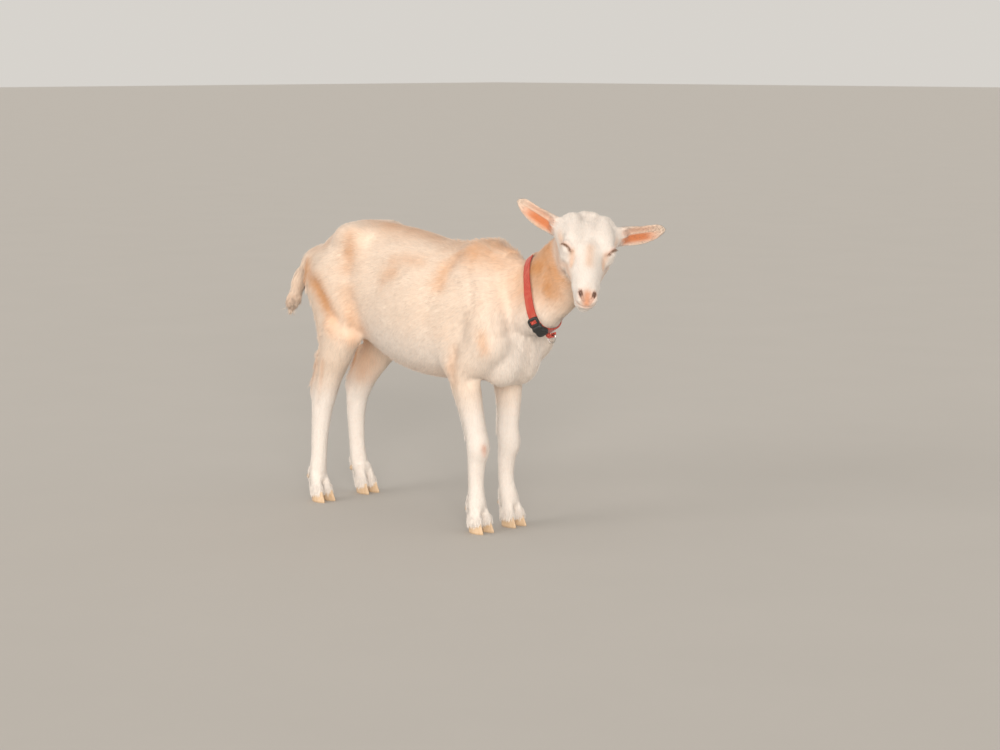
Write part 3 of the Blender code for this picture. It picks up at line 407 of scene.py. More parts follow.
def lump(form, centre, radii, blend):
    """Adds an egg whose centre and radii are given on the head's axes u, v, w."""
    form.add(Egg(on_head(*centre), radii, HEAD), blend)


def ridge(form, a, b, radius_a, radius_b, blend, flat=1.0):
    """Adds a tapering bar between two points given on the head's axes."""
    form.add(bar(on_head(*a), on_head(*b), radius_a, radius_b, flat, across=HEAD[1]), blend)


def add_head(form):
    """The skull's sweep, then paired and single lumps and ridges, then the two ears on short roots."""
    rows = [[*on_head(u, 0, (top + low) / 2), (top - low) / 2, half] for u, top, low, half in SKULL]
    form.add(Sweep(rows, across=HEAD[1], cap=0.8), 0.012)
    for s in (-1, 1):
        lump(form, (0.054, s * 0.028, -0.008), (0.034, 0.018, 0.0155), 0.010)
        lump(form, (0.058, s * 0.030, -0.052), (0.036, 0.015, 0.030), 0.014)
        lump(form, (0.026, s * 0.033, -0.022), (0.025, 0.019, 0.018), 0.014)
        ridge(form, (0.085, s * 0.038, -0.022), (0.040, s * 0.043, -0.030), 0.011, 0.013, 0.010)
        lump(form, (0.079, s * 0.0390, -0.0110), (0.0160, 0.0135, 0.0135), 0.006)
        lump(form, (0.170, s * 0.0115, -0.0170), (0.0135, 0.0085, 0.0100), 0.005)
        ridge(form, (0.146, s * 0.0150, -0.032), (0.172, s * 0.0110, -0.034), 0.0100, 0.0090, 0.007)
    ridge(form, (0.080, 0, -0.009), (0.158, 0, -0.0205), 0.0150, 0.0115, 0.010, flat=1.2)
    lump(form, (0.1765, 0, -0.0255), (0.0110, 0.0145, 0.0120), 0.005)
    lump(form, (0.1695, 0, -0.0440), (0.0150, 0.0135, 0.0095), 0.005)
    for ear in EARS.values():
        form.add(ear, 0.010)
        form.add(bar(ear.base - ear.along * 0.010, ear.base + ear.along * 0.020, 0.018, 0.012), 0.014)


flesh = Form()
add_trunk(flesh)
for s in (-1, 1):
    add_foreleg(flesh, s)
    add_hindleg(flesh, s)
add_head(flesh)
print("shapes in the form", len(flesh.shapes))

# %% [markdown]
# ## How deep the coat is
#
# The solids reach out to the tips of the coat, so the skin lies deeper: 3 to 5 mm on the body, 2 on the
# legs, about one on the face and half a millimetre on the ears. Each foot is also cut off a little under
# the coronet, where skin turns into horn, so that the skin ends inside its claws.

# %% Depth of the coat, and the cut at the coronet
CLAW_LENGTH, CLAW_WIDTH, TOE_HEIGHT, HEEL_HEIGHT, CLAW_SPREAD = 0.043, 0.0185, 0.024, 0.015, 0.0145
FEET = [("fore", "left", 1, 0.2435, 0.0420, 0.1956), ("fore", "right", -1, 0.2425, -0.0450, 0.1950),
        ("hind", "left", 1, -0.2030, 0.0620, -0.2605), ("hind", "right", -1, -0.2010, -0.0600, -0.2537)]


def on_head_axes(p):
    """Places in the head's frame: u, v, w of each point."""
    return (p - POLL) @ HEAD.T


def head_share(p):
    """1 on the skull and face, 0 on the neck: a fall over 45 mm round a capsule down the face."""
    q = on_head_axes(p)
    u = np.clip(q[:, 0], 0.045, 0.17)
    away = np.sqrt((q[:, 0] - u) ** 2 + q[:, 1] ** 2 + (q[:, 2] + 0.030) ** 2)
    return 1 - smooth_step(0.055, 0.100, away)


def ear_share(p):
    """1 on the free leaf of either ear, 0 elsewhere."""
    share = np.zeros(len(p))
    for ear in EARS.values():
        s, t, n = ear.place(p)
        beside = 1 - smooth_step(0.030, 0.042, np.sqrt(t * t + n * n))
        share = np.maximum(share, smooth_step(0.008, 0.026, s) * beside)
    return share


def coat_depth(p):
    """Body depth, thinned to the legs by height, to the face and the ears by their shares."""
    x, z = p[:, 0], p[:, 2]
    belly = smooth_step(-0.20, -0.10, x) * (1 - smooth_step(0.16, 0.22, x)) * (1 - smooth_step(0.27, 0.33, z))
    depth = 0.0034 + 0.0014 * belly
    leg = 1 - smooth_step(0.17, 0.33, z + 0.9 * np.maximum(0, x - 0.30))
    depth = depth + (0.0019 - depth) * leg * (1 - belly)
    tail = 1 - smooth_step(-0.315, -0.295, x + 0.1 * np.maximum(0, z - 0.49))
    depth = depth + (0.0022 + 0.0045 * (1 - smooth_step(0.41, 0.45, z)) - depth) * tail
    depth = depth + (0.0011 - depth) * head_share(p)
    return depth + (0.0005 - depth) * ear_share(p)


class BelowCoronet:
    """Negative under the slanted plane of one foot: height over the plane, square to it."""

    def __init__(self, tip_x, y, sink=0.0045):
        self.slope, self.sink = (TOE_HEIGHT - HEEL_HEIGHT) / CLAW_LENGTH, sink
        self.heel_x = tip_x - CLAW_LENGTH
        self.low = np.array([tip_x - 0.09, y - 0.05, -0.05])
        self.high = np.array([tip_x + 0.04, y + 0.05, 0.03])

    def __call__(self, p):
        plane = HEEL_HEIGHT + self.slope * (p[:, 0] - self.heel_x) - self.sink
        return (p[:, 2] - plane) / np.sqrt(1 + self.slope ** 2)


coronets = [BelowCoronet(tip_x, y) for _, _, _, tip_x, y, _ in FEET]


def skin_level(p):
    """The form raised by the coat's depth, with each foot cut off below its coronet."""
    level = flesh(p) + coat_depth(p)
    for cut in coronets:
        near = ((p > cut.low) & (p < cut.high)).all(1)
        if near.any():
            level[near] = smooth_cut(level[near], cut(p[near]), 0.002)
    return level


back_knee_nose = np.array([[0, 0, 0.56], [0.23, 0.05, 0.16], on_head(0.15, 0, 0)])
print("depth on back, knee and nose", coat_depth(back_knee_nose).round(4))

# %% [markdown]
# ## One skin, finest at the head
#
# A lattice of cubes is laid over the goat, the form is read at every corner, and one vertex is put in
# each cube that the surface crosses. Quads join the vertices of cubes that share a crossed edge, which
# closes the skin everywhere. An even lattice wastes its cells on the flat of the trunk, so this one is
# bent like a fisheye round the face: its cells are a quarter as large there and grow with the distance.

# %% The fisheye lattice
EYE_OF_LENS = on_head(0.105, 0.0, -0.028)
LENS_PULL, LENS_REACH = 0.78, 0.40
LENS_TABLE = np.linspace(0, 3, 3001)
LENS_BENT = LENS_TABLE - LENS_PULL * LENS_REACH * np.arctan(LENS_TABLE / LENS_REACH)


def bend(q):
    """Lattice place to real place: a radius r becomes r - pull * reach * arctan(r / reach)."""
    rel = q - EYE_OF_LENS
    r = np.linalg.norm(rel, axis=1) + 1e-9
    return EYE_OF_LENS + rel * ((r - LENS_PULL * LENS_REACH * np.arctan(r / LENS_REACH)) / r)[:, None]


def bend_slope(q):
    """How large a lattice cell is in reality, along the radius: 1 - pull / (1 + (r / reach)^2)."""
    r = np.linalg.norm(q - EYE_OF_LENS, axis=1)
    return 1 - LENS_PULL / (1 + (r / LENS_REACH) ** 2)


def lattice(*steps):
    """Every combination of the steps along x, y and z, one in each row."""
    return np.stack(np.meshgrid(*steps, indexing="ij"), -1).reshape(-1, 3)


def ranks(cells, span):
    """One whole number for each cell: (x * span of y + y) * span of z + z."""
    return (cells[:, 0] * span[1] + cells[:, 1]) * span[2] + cells[:, 2]


def skin_of_level(level, low, high, cell, block=8):
    """Vertices are the mean of their cube's edge crossings; a quad is made round each crossed edge."""
    low = EYE_OF_LENS - np.interp(EYE_OF_LENS - low, LENS_BENT, LENS_TABLE)
    high = EYE_OF_LENS + np.interp(high - EYE_OF_LENS, LENS_BENT, LENS_TABLE)
    count = np.ceil((high - low) / (cell * block)).astype(int)
    blocks = lattice(*[np.arange(n) for n in count])
    middle = low + (blocks + 0.5) * cell * block
    value = np.concatenate([level(bend(part)) for part in np.array_split(middle, 60)])
    size = bend_slope(middle + unit(middle - EYE_OF_LENS) * cell * block)
    blocks = blocks[np.abs(value) < cell * block * 1.7 * size + 0.002]
    corner = lattice(*[np.arange(block + 1)] * 3)
    value = np.stack([level(bend(low + (which * block + corner) * cell)) for which in blocks])
    value = value.reshape(-1, block + 1, block + 1, block + 1)
    inside, n = value < 0, block
    filled = sum(inside[:, i:n + i, j:n + j, k:n + k].astype(int)
                 for i in (0, 1) for j in (0, 1) for k in (0, 1))
    active = np.argwhere((filled > 0) & (filled < 8))
    b, i, j, k = active.T
    place, crossings = np.zeros((len(active), 3)), np.zeros(len(active))
    for axis in range(3):
        one, two = [a for a in range(3) if a != axis]
        for first, second in ((0, 0), (0, 1), (1, 0), (1, 1)):
            start = np.zeros(3, int)
            start[one], start[two] = first, second
            end = start.copy()
            end[axis] = 1
            f0 = value[b, i + start[0], j + start[1], k + start[2]]
            f1 = value[b, i + end[0], j + end[1], k + end[2]]
            cross = (f0 < 0) != (f1 < 0)
            point = np.tile(start.astype(float), (len(active), 1))
            point[:, axis] = np.where(cross, f0 / np.where(cross, f0 - f1, 1), 0)
            place += point * cross[:, None]
            crossings += cross
    cells = blocks[b] * block + active[:, 1:]
    points = bend(low + (cells + place / crossings[:, None]) * cell)
    span = count * block + 1
    key = ranks(cells, span)
    order = np.argsort(key)
    ranked = key[order]
    faces = []
    for axis in range(3):
        right, up = (axis + 1) % 3, (axis + 2) % 3
        part = [slice(0, n)] * 3
        part[axis] = slice(1, n + 1)
        here, there = inside[:, :n, :n, :n], inside[:, part[0], part[1], part[2]]
        edges = np.argwhere(here != there)
        base = blocks[edges[:, 0]] * block + edges[:, 1:]
        leaving = here[edges[:, 0], edges[:, 1], edges[:, 2], edges[:, 3]]
        quad = []
        for du, dv in ((0, 0), (-1, 0), (-1, -1), (0, -1)):
            c = base.copy()
            c[:, right] += du
            c[:, up] += dv
            wanted = ranks(c, span)
            at = np.minimum(np.searchsorted(ranked, wanted), len(key) - 1)
            quad.append(np.where(ranked[at] == wanted, order[at], -1))
        quad = np.stack(quad, 1)
        whole = (quad >= 0).all(1)
        quad, leaving = quad[whole], leaving[whole]
        quad[~leaving] = quad[~leaving][:, ::-1]
        faces.append(quad)
    return points, np.concatenate(faces)


def vertex_normals(points, quads):
    """Unit sum, at each vertex, of the cross products of its quads' diagonals."""
    cross = np.cross(points[quads[:, 2]] - points[quads[:, 0]], points[quads[:, 3]] - points[quads[:, 1]])
    total = [np.bincount(quads.ravel(), np.repeat(cross[:, axis], 4), len(points)) for axis in range(3)]
    return unit(np.stack(total, 1))


ROOM_LOW, ROOM_HIGH, CELL = np.array([-0.42, -0.14, 0.0]), np.array([0.63, 0.17, 0.70]), 0.0060
skin_points, skin_quads = skin_of_level(skin_level, ROOM_LOW, ROOM_HIGH, CELL)
skin_normals = vertex_normals(skin_points, skin_quads)
print("skin", len(skin_points), "vertices,", len(skin_quads), "quads")

# %% [markdown]
# ## Folds and features pressed into the skin
#
# Hollows and folds are small next to the form, so they are pressed into its vertices along their normals.
# Each is a soft groove or swelling round a short path: full strength on the path, fading with the square
# of the distance. Body folds are given for the left side and mirrored; face features use the head's axes.

# %% Soft lines and the folds of the body
def near_line(p, a, b, width):
    """exp(-(d / width)^2), where d is the distance from each point to the segment from a to b."""
    a, b = np.asarray(a, float), np.asarray(b, float)
    span = b - a
    t = np.clip((p - a) @ span / max(span @ span, 1e-12), 0, 1)
    off = p - a - t[:, None] * span
    return np.exp(-np.einsum("ij,ij->i", off, off) / width ** 2)


def near_path(p, path, width):
    """The strongest near_line over the legs of a path; a path of one point is a round spot."""
    path = [np.asarray(point, float) for point in path]
    legs = list(zip(path[:-1], path[1:])) or [(path[0], path[0])]
    return np.max([near_line(p, a, b, width) for a, b in legs], axis=0)


def mirrored(p):
    """The same points folded over to the left side."""
    return p * [1, 0, 1] + np.abs(p[:, 1:2]) * [0, 1, 0]


HAM_GROOVE = [(-0.262, 0.060, 0.482), (-0.205, 0.085, 0.442), (-0.158, 0.088, 0.385)]
BODY_FOLDS = [  # width, how deep (minus swells), path on the left side
    (0.022, -0.0016, [(-0.100, 0.062, 0.548), (-0.090, 0.072, 0.520), (-0.082, 0.080, 0.480)]),  # hip bone
    (0.022, 0.0022, [(-0.118, 0.072, 0.540), (-0.122, 0.080, 0.480)]),  # behind it
    (0.030, 0.0034, [(0.018, 0.084, 0.492), (-0.030, 0.086, 0.468)]),  # flank hollow
    (0.018, 0.0022, [(0.146, 0.080, 0.470), (0.150, 0.068, 0.505), (0.172, 0.052, 0.528)]),  # behind blade
    (0.020, -0.0016, [(0.172, 0.076, 0.465), (0.178, 0.064, 0.508), (0.205, 0.048, 0.530)]),  # blade's edge
    (0.012, 0.0024, [(0.215, 0.075, 0.500), (0.235, 0.080, 0.440)]),  # on the blade
    (0.012, 0.0045, [(0.192, 0.092, 0.345), (0.182, 0.090, 0.300)]),  # elbow fold
    (0.010, 0.0018, [(0.270, 0.094, 0.388), (0.276, 0.090, 0.360)]),  # upper arm
    (0.024, -0.0055, [(0.278, 0.076, 0.352), (0.280, 0.070, 0.322)]),  # filled armpit
    (0.022, 0.0034, [(0.284, 0.050, 0.318)]),  # breast, flattened
    (0.020, -0.0036, [(0.262, 0.000, 0.530), (0.300, 0.000, 0.520)]),  # nape before withers
    (0.017, 0.0048, [(0.346, 0.000, 0.542), (0.362, 0.000, 0.550)]),  # hollow of the nape
    (0.017, 0.0036, HAM_GROOVE),
    (0.020, 0.0030, [(-0.120, 0.082, 0.425), (-0.106, 0.074, 0.372)]),  # stifle fold
    (0.022, 0.0042, [(-0.126, 0.090, 0.358), (-0.142, 0.092, 0.368)]),  # stifle, flattened
    (0.020, -0.0018, [(-0.140, 0.088, 0.318), (-0.150, 0.086, 0.300)]),  # shin muscle
    (0.013, 0.0018, [(0.262, 0.002, 0.300), (0.300, 0.000, 0.345), (0.318, 0, 0.385)]),  # breast cleft
]
HOCK_FOLDS = [  # the same for a hock whose shift along x is nought
    (0.010, -0.0036, [(-0.262, 0.060, 0.226), (-0.257, 0.060, 0.240)]),  # point of the hock
    (0.011, 0.0030, [(-0.236, 0.080, 0.262), (-0.226, 0.080, 0.288)]),  # before the tendon
    (0.010, 0.0026, [(-0.236, 0.040, 0.262), (-0.226, 0.040, 0.288)]),
    (0.010, -0.0016, [(-0.214, 0.060, 0.212)]),  # front of the hock
    (0.012, 0.0018, [(-0.262, 0.060, 0.184), (-0.262, 0.060, 0.165)]),  # top of the cannon
    (0.007, 0.0018, [(-0.195, 0.089, 0.295), (-0.209, 0.080, 0.250), (-0.226, 0.074, 0.202)]),  # shin
    (0.007, 0.0018, [(-0.222, 0.043, 0.220), (-0.240, 0.045, 0.177)]),
]


def body_folds(p):
    """Sum of depth times exp(-(distance to the path / width)^2), hocks shifted with their leg."""
    q = mirrored(p)
    total = sum(deep * near_path(q, path, width) for width, deep, path in BODY_FOLDS)
    for s, (_, hock, _) in HIND_STANCE.items():
        own = (s * p[:, 1] > 0) & (p[:, 0] < -0.17)
        at_leg = q[own] - [hock, 0, 0]
        total[own] += sum(deep * near_path(at_leg, path, width) for width, deep, path in HOCK_FOLDS)
    return total


# %% The features of the face
SLIT = [(0.0722, 0.0500, -0.0060), (0.0762, 0.0456, 0.0000),
        (0.0808, 0.0402, 0.0015), (0.0892, 0.0318, -0.0030)]
NOSTRIL = [(0.1645, 0.0135, -0.0095), (0.1725, 0.0108, -0.0082), (0.1802, 0.0052, -0.0130)]
MOUTH = [(0.140, 0.0250, -0.0360), (0.160, 0.0232, -0.0285), (0.1755, 0.0190, -0.0250),
         (0.1848, 0.0100, -0.0235), (0.1868, 0.0000, -0.0238)]
FACE_FOLDS = [
    (0.0016, 0.0024, SLIT),  # closed lids
    (0.0095, 0.0036, [(0.0830, 0.0475, -0.0120), (0.0900, 0.0420, -0.0095)]),  # lower lid
    (0.0180, -0.0046, [(0.0960, 0.0330, -0.0540), (0.1120, 0.0270, -0.0480)]),  # angle of the jaw
    (0.0042, -0.0015, [(0.0700, 0.0440, 0.0010), (0.0790, 0.0355, 0.0040)]),  # upper lid
    (0.0024, 0.0011, [(0.0640, 0.0480, -0.0040), (0.0705, 0.0390, 0.0065), (0.0800, 0.0300, 0.0040)]),
    (0.0040, 0.0018, [(0.0900, 0.0310, -0.0040), (0.1010, 0.0270, -0.0120), (0.1080, 0.0280, -0.0200)]),
    (0.0022, 0.0006, [(0.0920, 0.0440, -0.0180), (0.1060, 0.0370, -0.0260)]),  # cheek wrinkles
    (0.0022, 0.0006, [(0.0930, 0.0450, -0.0250), (0.1090, 0.0360, -0.0330)]),
    (0.0024, 0.0046, NOSTRIL),
    (0.0032, -0.0011, [(0.1640, 0.0150, -0.0155), (0.1720, 0.0135, -0.0150), (0.1790, 0.0080, -0.0165)]),
    (0.0010, 0.0011, [(0.1790, 0.0, -0.0135), (0.1875, 0.0, -0.0225)]),  # lip cleft
    (0.0016, 0.0018, MOUTH),
    (0.0085, 0.0026, [(0.155, 0.0270, -0.0360), (0.182, 0.0215, -0.0340)]),  # drawn-in jaw
    (0.0140, -0.0054, [(0.0130, 0.0240, -0.0090), (0.0060, 0.0110, -0.0120)]),  # filled crown
    (0.0120, 0.0016, [(0.0240, 0.0400, -0.0080)]),  # its corners
]


def face_folds(p):
    """The same sum as for the body, on the head's axes."""
    h = on_head_axes(p)
    left_corner = 0.0036 * near_path(h, [(0.022, 0.042, -0.010)], 0.013)
    return left_corner + sum(deep * near_path(mirrored(h), path, width) for width, deep, path in FACE_FOLDS)


# %% The ear's inner ridges, and all folds pressed in
def in_ear(p):
    """For each ear: place across it, cheek's side positive; place and share along it; 1 inside its cup."""
    for side, ear in EARS.items():
        s, t, n = ear.place(p)
        x = np.clip(s / ear.length, 0, 1)
        lean = np.abs(t) < EAR_HALF_WIDTH * 1.1
        inner = smooth_step(-0.0010, 0.0014, n - ear.bowl(t, x)) * lean * (np.abs(n) < 0.03)
        yield -side * t, s, x, inner * smooth_step(-0.004, 0.002, s) * (s < ear.length + 0.003)


def ear_folds(p):
    """Two low ridges of skin run from the root towards the tip inside the cup."""
    total = np.zeros(len(p))
    for t, s, x, inner in in_ear(p):
        fade = smooth_step(0.008, 0.020, s) * (1 - smooth_step(0.6, 0.85, x))
        ridges = np.exp(-((t + 0.0015) / 0.0016) ** 2) + 0.7 * np.exp(-((t - 0.0085) / 0.0014) ** 2)
        total -= 0.0012 * ridges * fade * inner
    return total


HEAD_REACH = 0.22    # folds of the face are looked for within this of the lens, folds of the body beyond it
head_near = np.linalg.norm(skin_points - EYE_OF_LENS, axis=1) < HEAD_REACH
press = body_folds(skin_points) * (~head_near)
press[head_near] = face_folds(skin_points[head_near]) + ear_folds(skin_points[head_near])
skin_points = skin_points - skin_normals * press[:, None]
skin_normals = vertex_normals(skin_points, skin_quads)
print("deepest fold %.1f mm, highest swelling %.1f mm" % (press.max() * 1000, -press.min() * 1000))

# %% [markdown]
# ## Markings, shared by skin and coat
#
# This goat is cream white, warmer and tanner along the back, whitest on the face and lower legs, and bare
# pink inside the ears, on the nose and on one rubbed knee. Shade is painted in with the same tan: in the
# folds and hollows, under the belly, on the neck under the head and beside the collar, and about the eyes,
# temples and jaw; and with dark in the slit of the lids, the nostrils and the line of the mouth. The markings
# are worked out once, as soft spots and paths in space, and stored on skin and tufts alike as a colour whose
# red says how tan or painted-shaded, green how pink and blue how dark that spot is, with the white of the
# face in alpha.

# %% Where she is tan, pink, dark and white, and where shade is painted
TAN_AND_SHADE_PATHS = [  # strength, width, path on the left side; those marked so are painted shade
    (0.50, 0.036, [(-0.23, 0, 0.545), (-0.10, 0, 0.58), (0.05, 0, 0.56), (0.20, 0, 0.555), (0.30, 0, 0.52)]),
    (0.50, 0.018, [(-0.116, 0.070, 0.545), (-0.120, 0.080, 0.485)]),  # painted shade behind the hip
    (0.38, 0.018, [(-0.205, 0.052, 0.532), (-0.250, 0.040, 0.520), (-0.300, 0.016, 0.508)]),  # rump
    (0.30, 0.018, [(0.085, 0.070, 0.514), (0.012, 0.076, 0.508)]),  # over the flank
    # painted shade in the flank hollow
    (0.32, 0.020, [(0.024, 0.084, 0.492), (-0.005, 0.088, 0.478)]),
    (0.50, 0.018, [(0.146, 0.080, 0.470), (0.150, 0.068, 0.505), (0.172, 0.052, 0.530)]),  # painted shade behind the blade
    (0.55, 0.030, [(0.205, 0.048, 0.535), (0.262, 0.034, 0.520)]),  # withers
    # painted shade on the neck under the head
    (0.90, 0.045, [(0.343, 0.027, 0.517), (0.394, 0.025, 0.56), (0.402, 0.033, 0.505), (0.394, 0.034, 0.48)]),
    (0.64, 0.044, [(0.345, 0.034, 0.495), (0.376, 0.036, 0.474)]),  # painted shade on the neck, beside the collar
    (0.50, 0.014, [(0.192, 0.092, 0.350), (0.182, 0.090, 0.295)]),  # painted shade in the elbow fold
    (0.50, 0.012, [(0.270, 0.094, 0.390), (0.276, 0.090, 0.358)]),  # painted shade in the fold of the upper arm
    (0.28, 0.018, [(0.232, 0.050, 0.200), (0.214, 0.040, 0.120)]),  # knee
    (0.22, 0.030, [(-0.150, 0.020, 0.330), (0.060, 0.030, 0.282), (0.180, 0.020, 0.285)]),  # painted shade under the belly
    # painted shade in the ham groove
    (0.86, 0.019, HAM_GROOVE),
    (1.00, 0.015, [(-0.272, 0.052, 0.485), (-0.268, 0.061, 0.455)]),  # painted shade at its upper end
    # painted shade down the back of the thigh to the hock
    (0.80, 0.020, [(-0.285, 0.02, 0.48), (-0.262, 0.045, 0.4), (-0.245, 0.062, 0.3), (-0.255, 0.06, 0.215)]),
    (0.55, 0.040, [(-0.200, 0.030, 0.330), (-0.215, 0.040, 0.250)]),  # painted shade inside the thigh
    (0.56, 0.026, [(-0.118, 0.082, 0.430), (-0.105, 0.072, 0.365)]),  # painted shade in the stifle fold
    # painted shade in the stifle fold, lower down
    (0.50, 0.020, [(-0.112, 0.084, 0.420), (-0.108, 0.080, 0.380), (-0.112, 0.070, 0.348)]),
    (0.44, 0.020, [(-0.126, 0.090, 0.361), (-0.150, 0.092, 0.372)]),  # painted shade in the stifle's hollow
    (0.50, 0.008, [(-0.188, 0.089, 0.295), (-0.202, 0.080, 0.250), (-0.218, 0.074, 0.202)]),  # painted shade in the shin groove
    (0.40, 0.008, [(-0.243, 0.043, 0.225), (-0.261, 0.045, 0.177)]),  # painted shade inside the hock
    (0.12, 0.030, [(-0.340, 0.000, 0.470), (-0.360, 0.000, 0.420)]),  # tail
]
NOSE = [(0.170, 0, -0.009), (0.184, 0, -0.016)]
FACE_TAN_AND_SHADE = [  # the same on the head's axes; those marked so are painted shade
    (0.36, 0.0092, [(0.084, 0, 0.007), (0.112, 0, 0.001)]),  # bridge of the nose
    (0.45, 0.0060, [(0.088, 0.030, -0.006), (0.108, 0.028, -0.022)]),  # painted shade under the eye's corner
    (0.62, 0.0190, [(0.030, 0.046, -0.050), (0.065, 0.050, -0.058), (0.105, 0.040, -0.062)]),  # painted shade along the jaw
    (0.42, 0.0085, [(0.046, 0.047, -0.020), (0.072, 0.053, -0.014)]),  # painted shade at the temple
    (0.40, 0.0100, [(0.094, 0.039, -0.042), (0.106, 0.033, -0.032), (0.125, 0.028, -0.034)]),  # painted shade on the cheek
    (0.55, 0.0095, NOSE),
]
FACE_PINK = [(0.66, 0.0080, NOSE), (0.42, 0.0034, MOUTH[2:]), (0.75, 0.0050, NOSTRIL), (0.46, 0.0042, SLIT)]
# the mouth's dark line is painted shade in its crease; the two spots by the poll are the bud marks
FACE_DARK_AND_SHADE = [(0.28, 0.0015, MOUTH[1:]), (0.22, 0.0050, [(0.016, 0.011, -0.006), (0.024, 0.019, -0.005)])]
# painted shade down the neck behind the head
NAPE = [(0.325, 0, 0.475), (0.400, 0.01, 0.520), (0.425, 0.02, 0.560)]
RUBBED_KNEE = [(0.240, -0.050, 0.157), (0.239, -0.052, 0.168)]


def strongest(p, rows):
    """The strongest of a table's paths, each near_path times its strength."""
    return np.max([strength * near_path(p, path, width) for strength, width, path in rows], axis=0)


def markings(p):
    """Tan, pink, dark and white shares of each point, the strongest of spots and paths; tan and dark hold
    painted shade.
    """
    q = mirrored(p)
    h = on_head_axes(p)
    m = mirrored(h)
    face = head_share(p)
    white = np.maximum(face * smooth_step(-0.022, 0.004, h[:, 0]) * smooth_step(-0.085, -0.060, h[:, 2]),
                       1 - smooth_step(0.20, 0.30, p[:, 2]))
    white = np.maximum(white, 0.80 * near_path(q, [(0.290, 0.030, 0.330), (0.330, 0.020, 0.395)], 0.065))
    white = np.maximum(white, 0.60 * near_path(q, [(-0.040, 0.080, 0.340), (0.120, 0.080, 0.320)], 0.055))
    tan_and_shade = np.maximum(strongest(q, TAN_AND_SHADE_PATHS), 0.85 * near_path(p, NAPE, 0.060)) * (1 - 0.85 * white)
    tan_and_shade = np.maximum(tan_and_shade, strongest(m, FACE_TAN_AND_SHADE))
    pink = np.maximum(strongest(m, FACE_PINK), 0.70 * near_path(p, RUBBED_KNEE, 0.0065))
    # painted shade in the slit of the lids, weaker on the left eye, and inside the nostrils
    slit_shade = np.where(h[:, 1] > 0, 0.30 * smooth_step(0.036, 0.041, h[:, 1]), 0.62)
    nostril_shade = np.maximum(near_path(m, NOSTRIL[:2], 0.0040), near_path(m, NOSTRIL, 0.0030))
    dark = np.max([slit_shade * smooth_step(0.20, 0.70, near_path(m, SLIT, 0.0019)),
                   0.95 * smooth_step(0.15, 0.60, nostril_shade), strongest(m, FACE_DARK_AND_SHADE)], axis=0)
    for t, s, x, inner in in_ear(p):
        rim = 1 - smooth_step(0.0095, 0.0185, np.abs(t))
        cup = smooth_step(0.004, 0.026, s) * (1 - smooth_step(0.58, 0.98, x)) * rim * inner
        ridge_hair = 0.8 * np.exp(-((t + 0.0015) / 0.0016) ** 2)
        bare = (0.40 + 0.60 * smooth_step(-0.005, 0.003, t)) * (1 - ridge_hair)
        pink = np.maximum(pink, 0.97 * cup * bare)
        pink = np.maximum(pink, 0.16 * smooth_step(0.012, 0.03, s) * (np.abs(t) < 0.024) * (s < 0.12) * face)
    return np.clip(np.stack([tan_and_shade, pink, dark, white], 1), 0, 1)


skin_marks = markings(skin_points)
print("mean tan, pink, dark and white", skin_marks.mean(0).round(3))

# %% [markdown]
# ## Making meshes from arrays
#
# Every piece below is worked out as arrays of points and faces. One helper turns them into a mesh: it
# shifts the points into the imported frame, fills the mesh's own arrays in one go, and smooths the shading.

# %% From arrays to an object
def made(name, points, faces, slot, replaces=()):
    """An object from points in the maker's frame and faces given as one or more integer arrays."""
    mesh = bpy.data.meshes.new(name)
    blocks = [np.asarray(block) for block in (faces if isinstance(faces, (list, tuple)) else [faces])]
    sizes = np.concatenate([np.full(len(block), block.shape[1]) for block in blocks])
    loops = np.concatenate([block.ravel() for block in blocks])
    mesh.vertices.add(len(points))
    mesh.vertices.foreach_set("co", (points + SHIFT).astype(np.float32).ravel())
    mesh.loops.add(len(loops))
    mesh.loops.foreach_set("vertex_index", loops.astype(np.int32))
    mesh.polygons.add(len(sizes))
    mesh.polygons.foreach_set("loop_start", np.concatenate([[0], np.cumsum(sizes)[:-1]]).astype(np.int32))
    mesh.update(calc_edges=True)
    mesh.polygons.foreach_set("use_smooth", np.full(len(sizes), True))
    piece = bpy.data.objects.new(name, mesh)
    bpy.context.scene.collection.objects.link(piece)
    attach(piece, "root")
    if replaces:
        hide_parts(*replaces)
    return piece


def store(piece, name, values, kind="FLOAT"):
    """Keeps one value, or one colour of four parts, for each vertex under a name that materials can read."""
    layer = piece.data.attributes.new(name, kind, "POINT")
    layer.data.foreach_set("value" if kind == "FLOAT" else "color", np.asarray(values, np.float32).ravel())


def grid_faces(rows, columns, wrap_rows=False):
    """Quads of a tube: rows rings of columns points, closed round, and end to end if wanted."""
    one = np.arange(columns)
    two = (one + 1) % columns
    low = np.arange(rows if wrap_rows else rows - 1)[:, None] * columns
    high = (low + columns) % (rows * columns)
    return np.stack([low + one, low + two, high + two, high + one], -1).reshape(-1, 4)


def closed_tube(rows, columns):
    """The same tube with each end closed by triangles to one more point, after those of the rings."""
    one = np.arange(columns)
    two = (one + 1) % columns
    last, count = (rows - 1) * columns, rows * columns
    caps = np.vstack([np.stack([two, one, one * 0 + count], 1),
                      np.stack([last + one, last + two, one * 0 + count + 1], 1)])
    return [grid_faces(rows, columns), caps]


FLESH_NODES = ["trunk", "neck", "head", "tail", "foreleg_left", "foreleg_right",
               "hindleg_left", "hindleg_right", "ear_left", "ear_right"]
skin = made("skin", skin_points, skin_quads, "coat", replaces=FLESH_NODES)
store(skin, "marks", skin_marks, "FLOAT_COLOR")
print(skin.name, len(skin.data.polygons), "faces for", len(FLESH_NODES), "nodes")

# %% [markdown]
# ## An unwrap of the skin
#
# Tufts take their place on a colour map from the skin under them, so the skin is unwrapped first: it is
# cut into patches by the way it faces, and the patches are laid side by side without overlap.

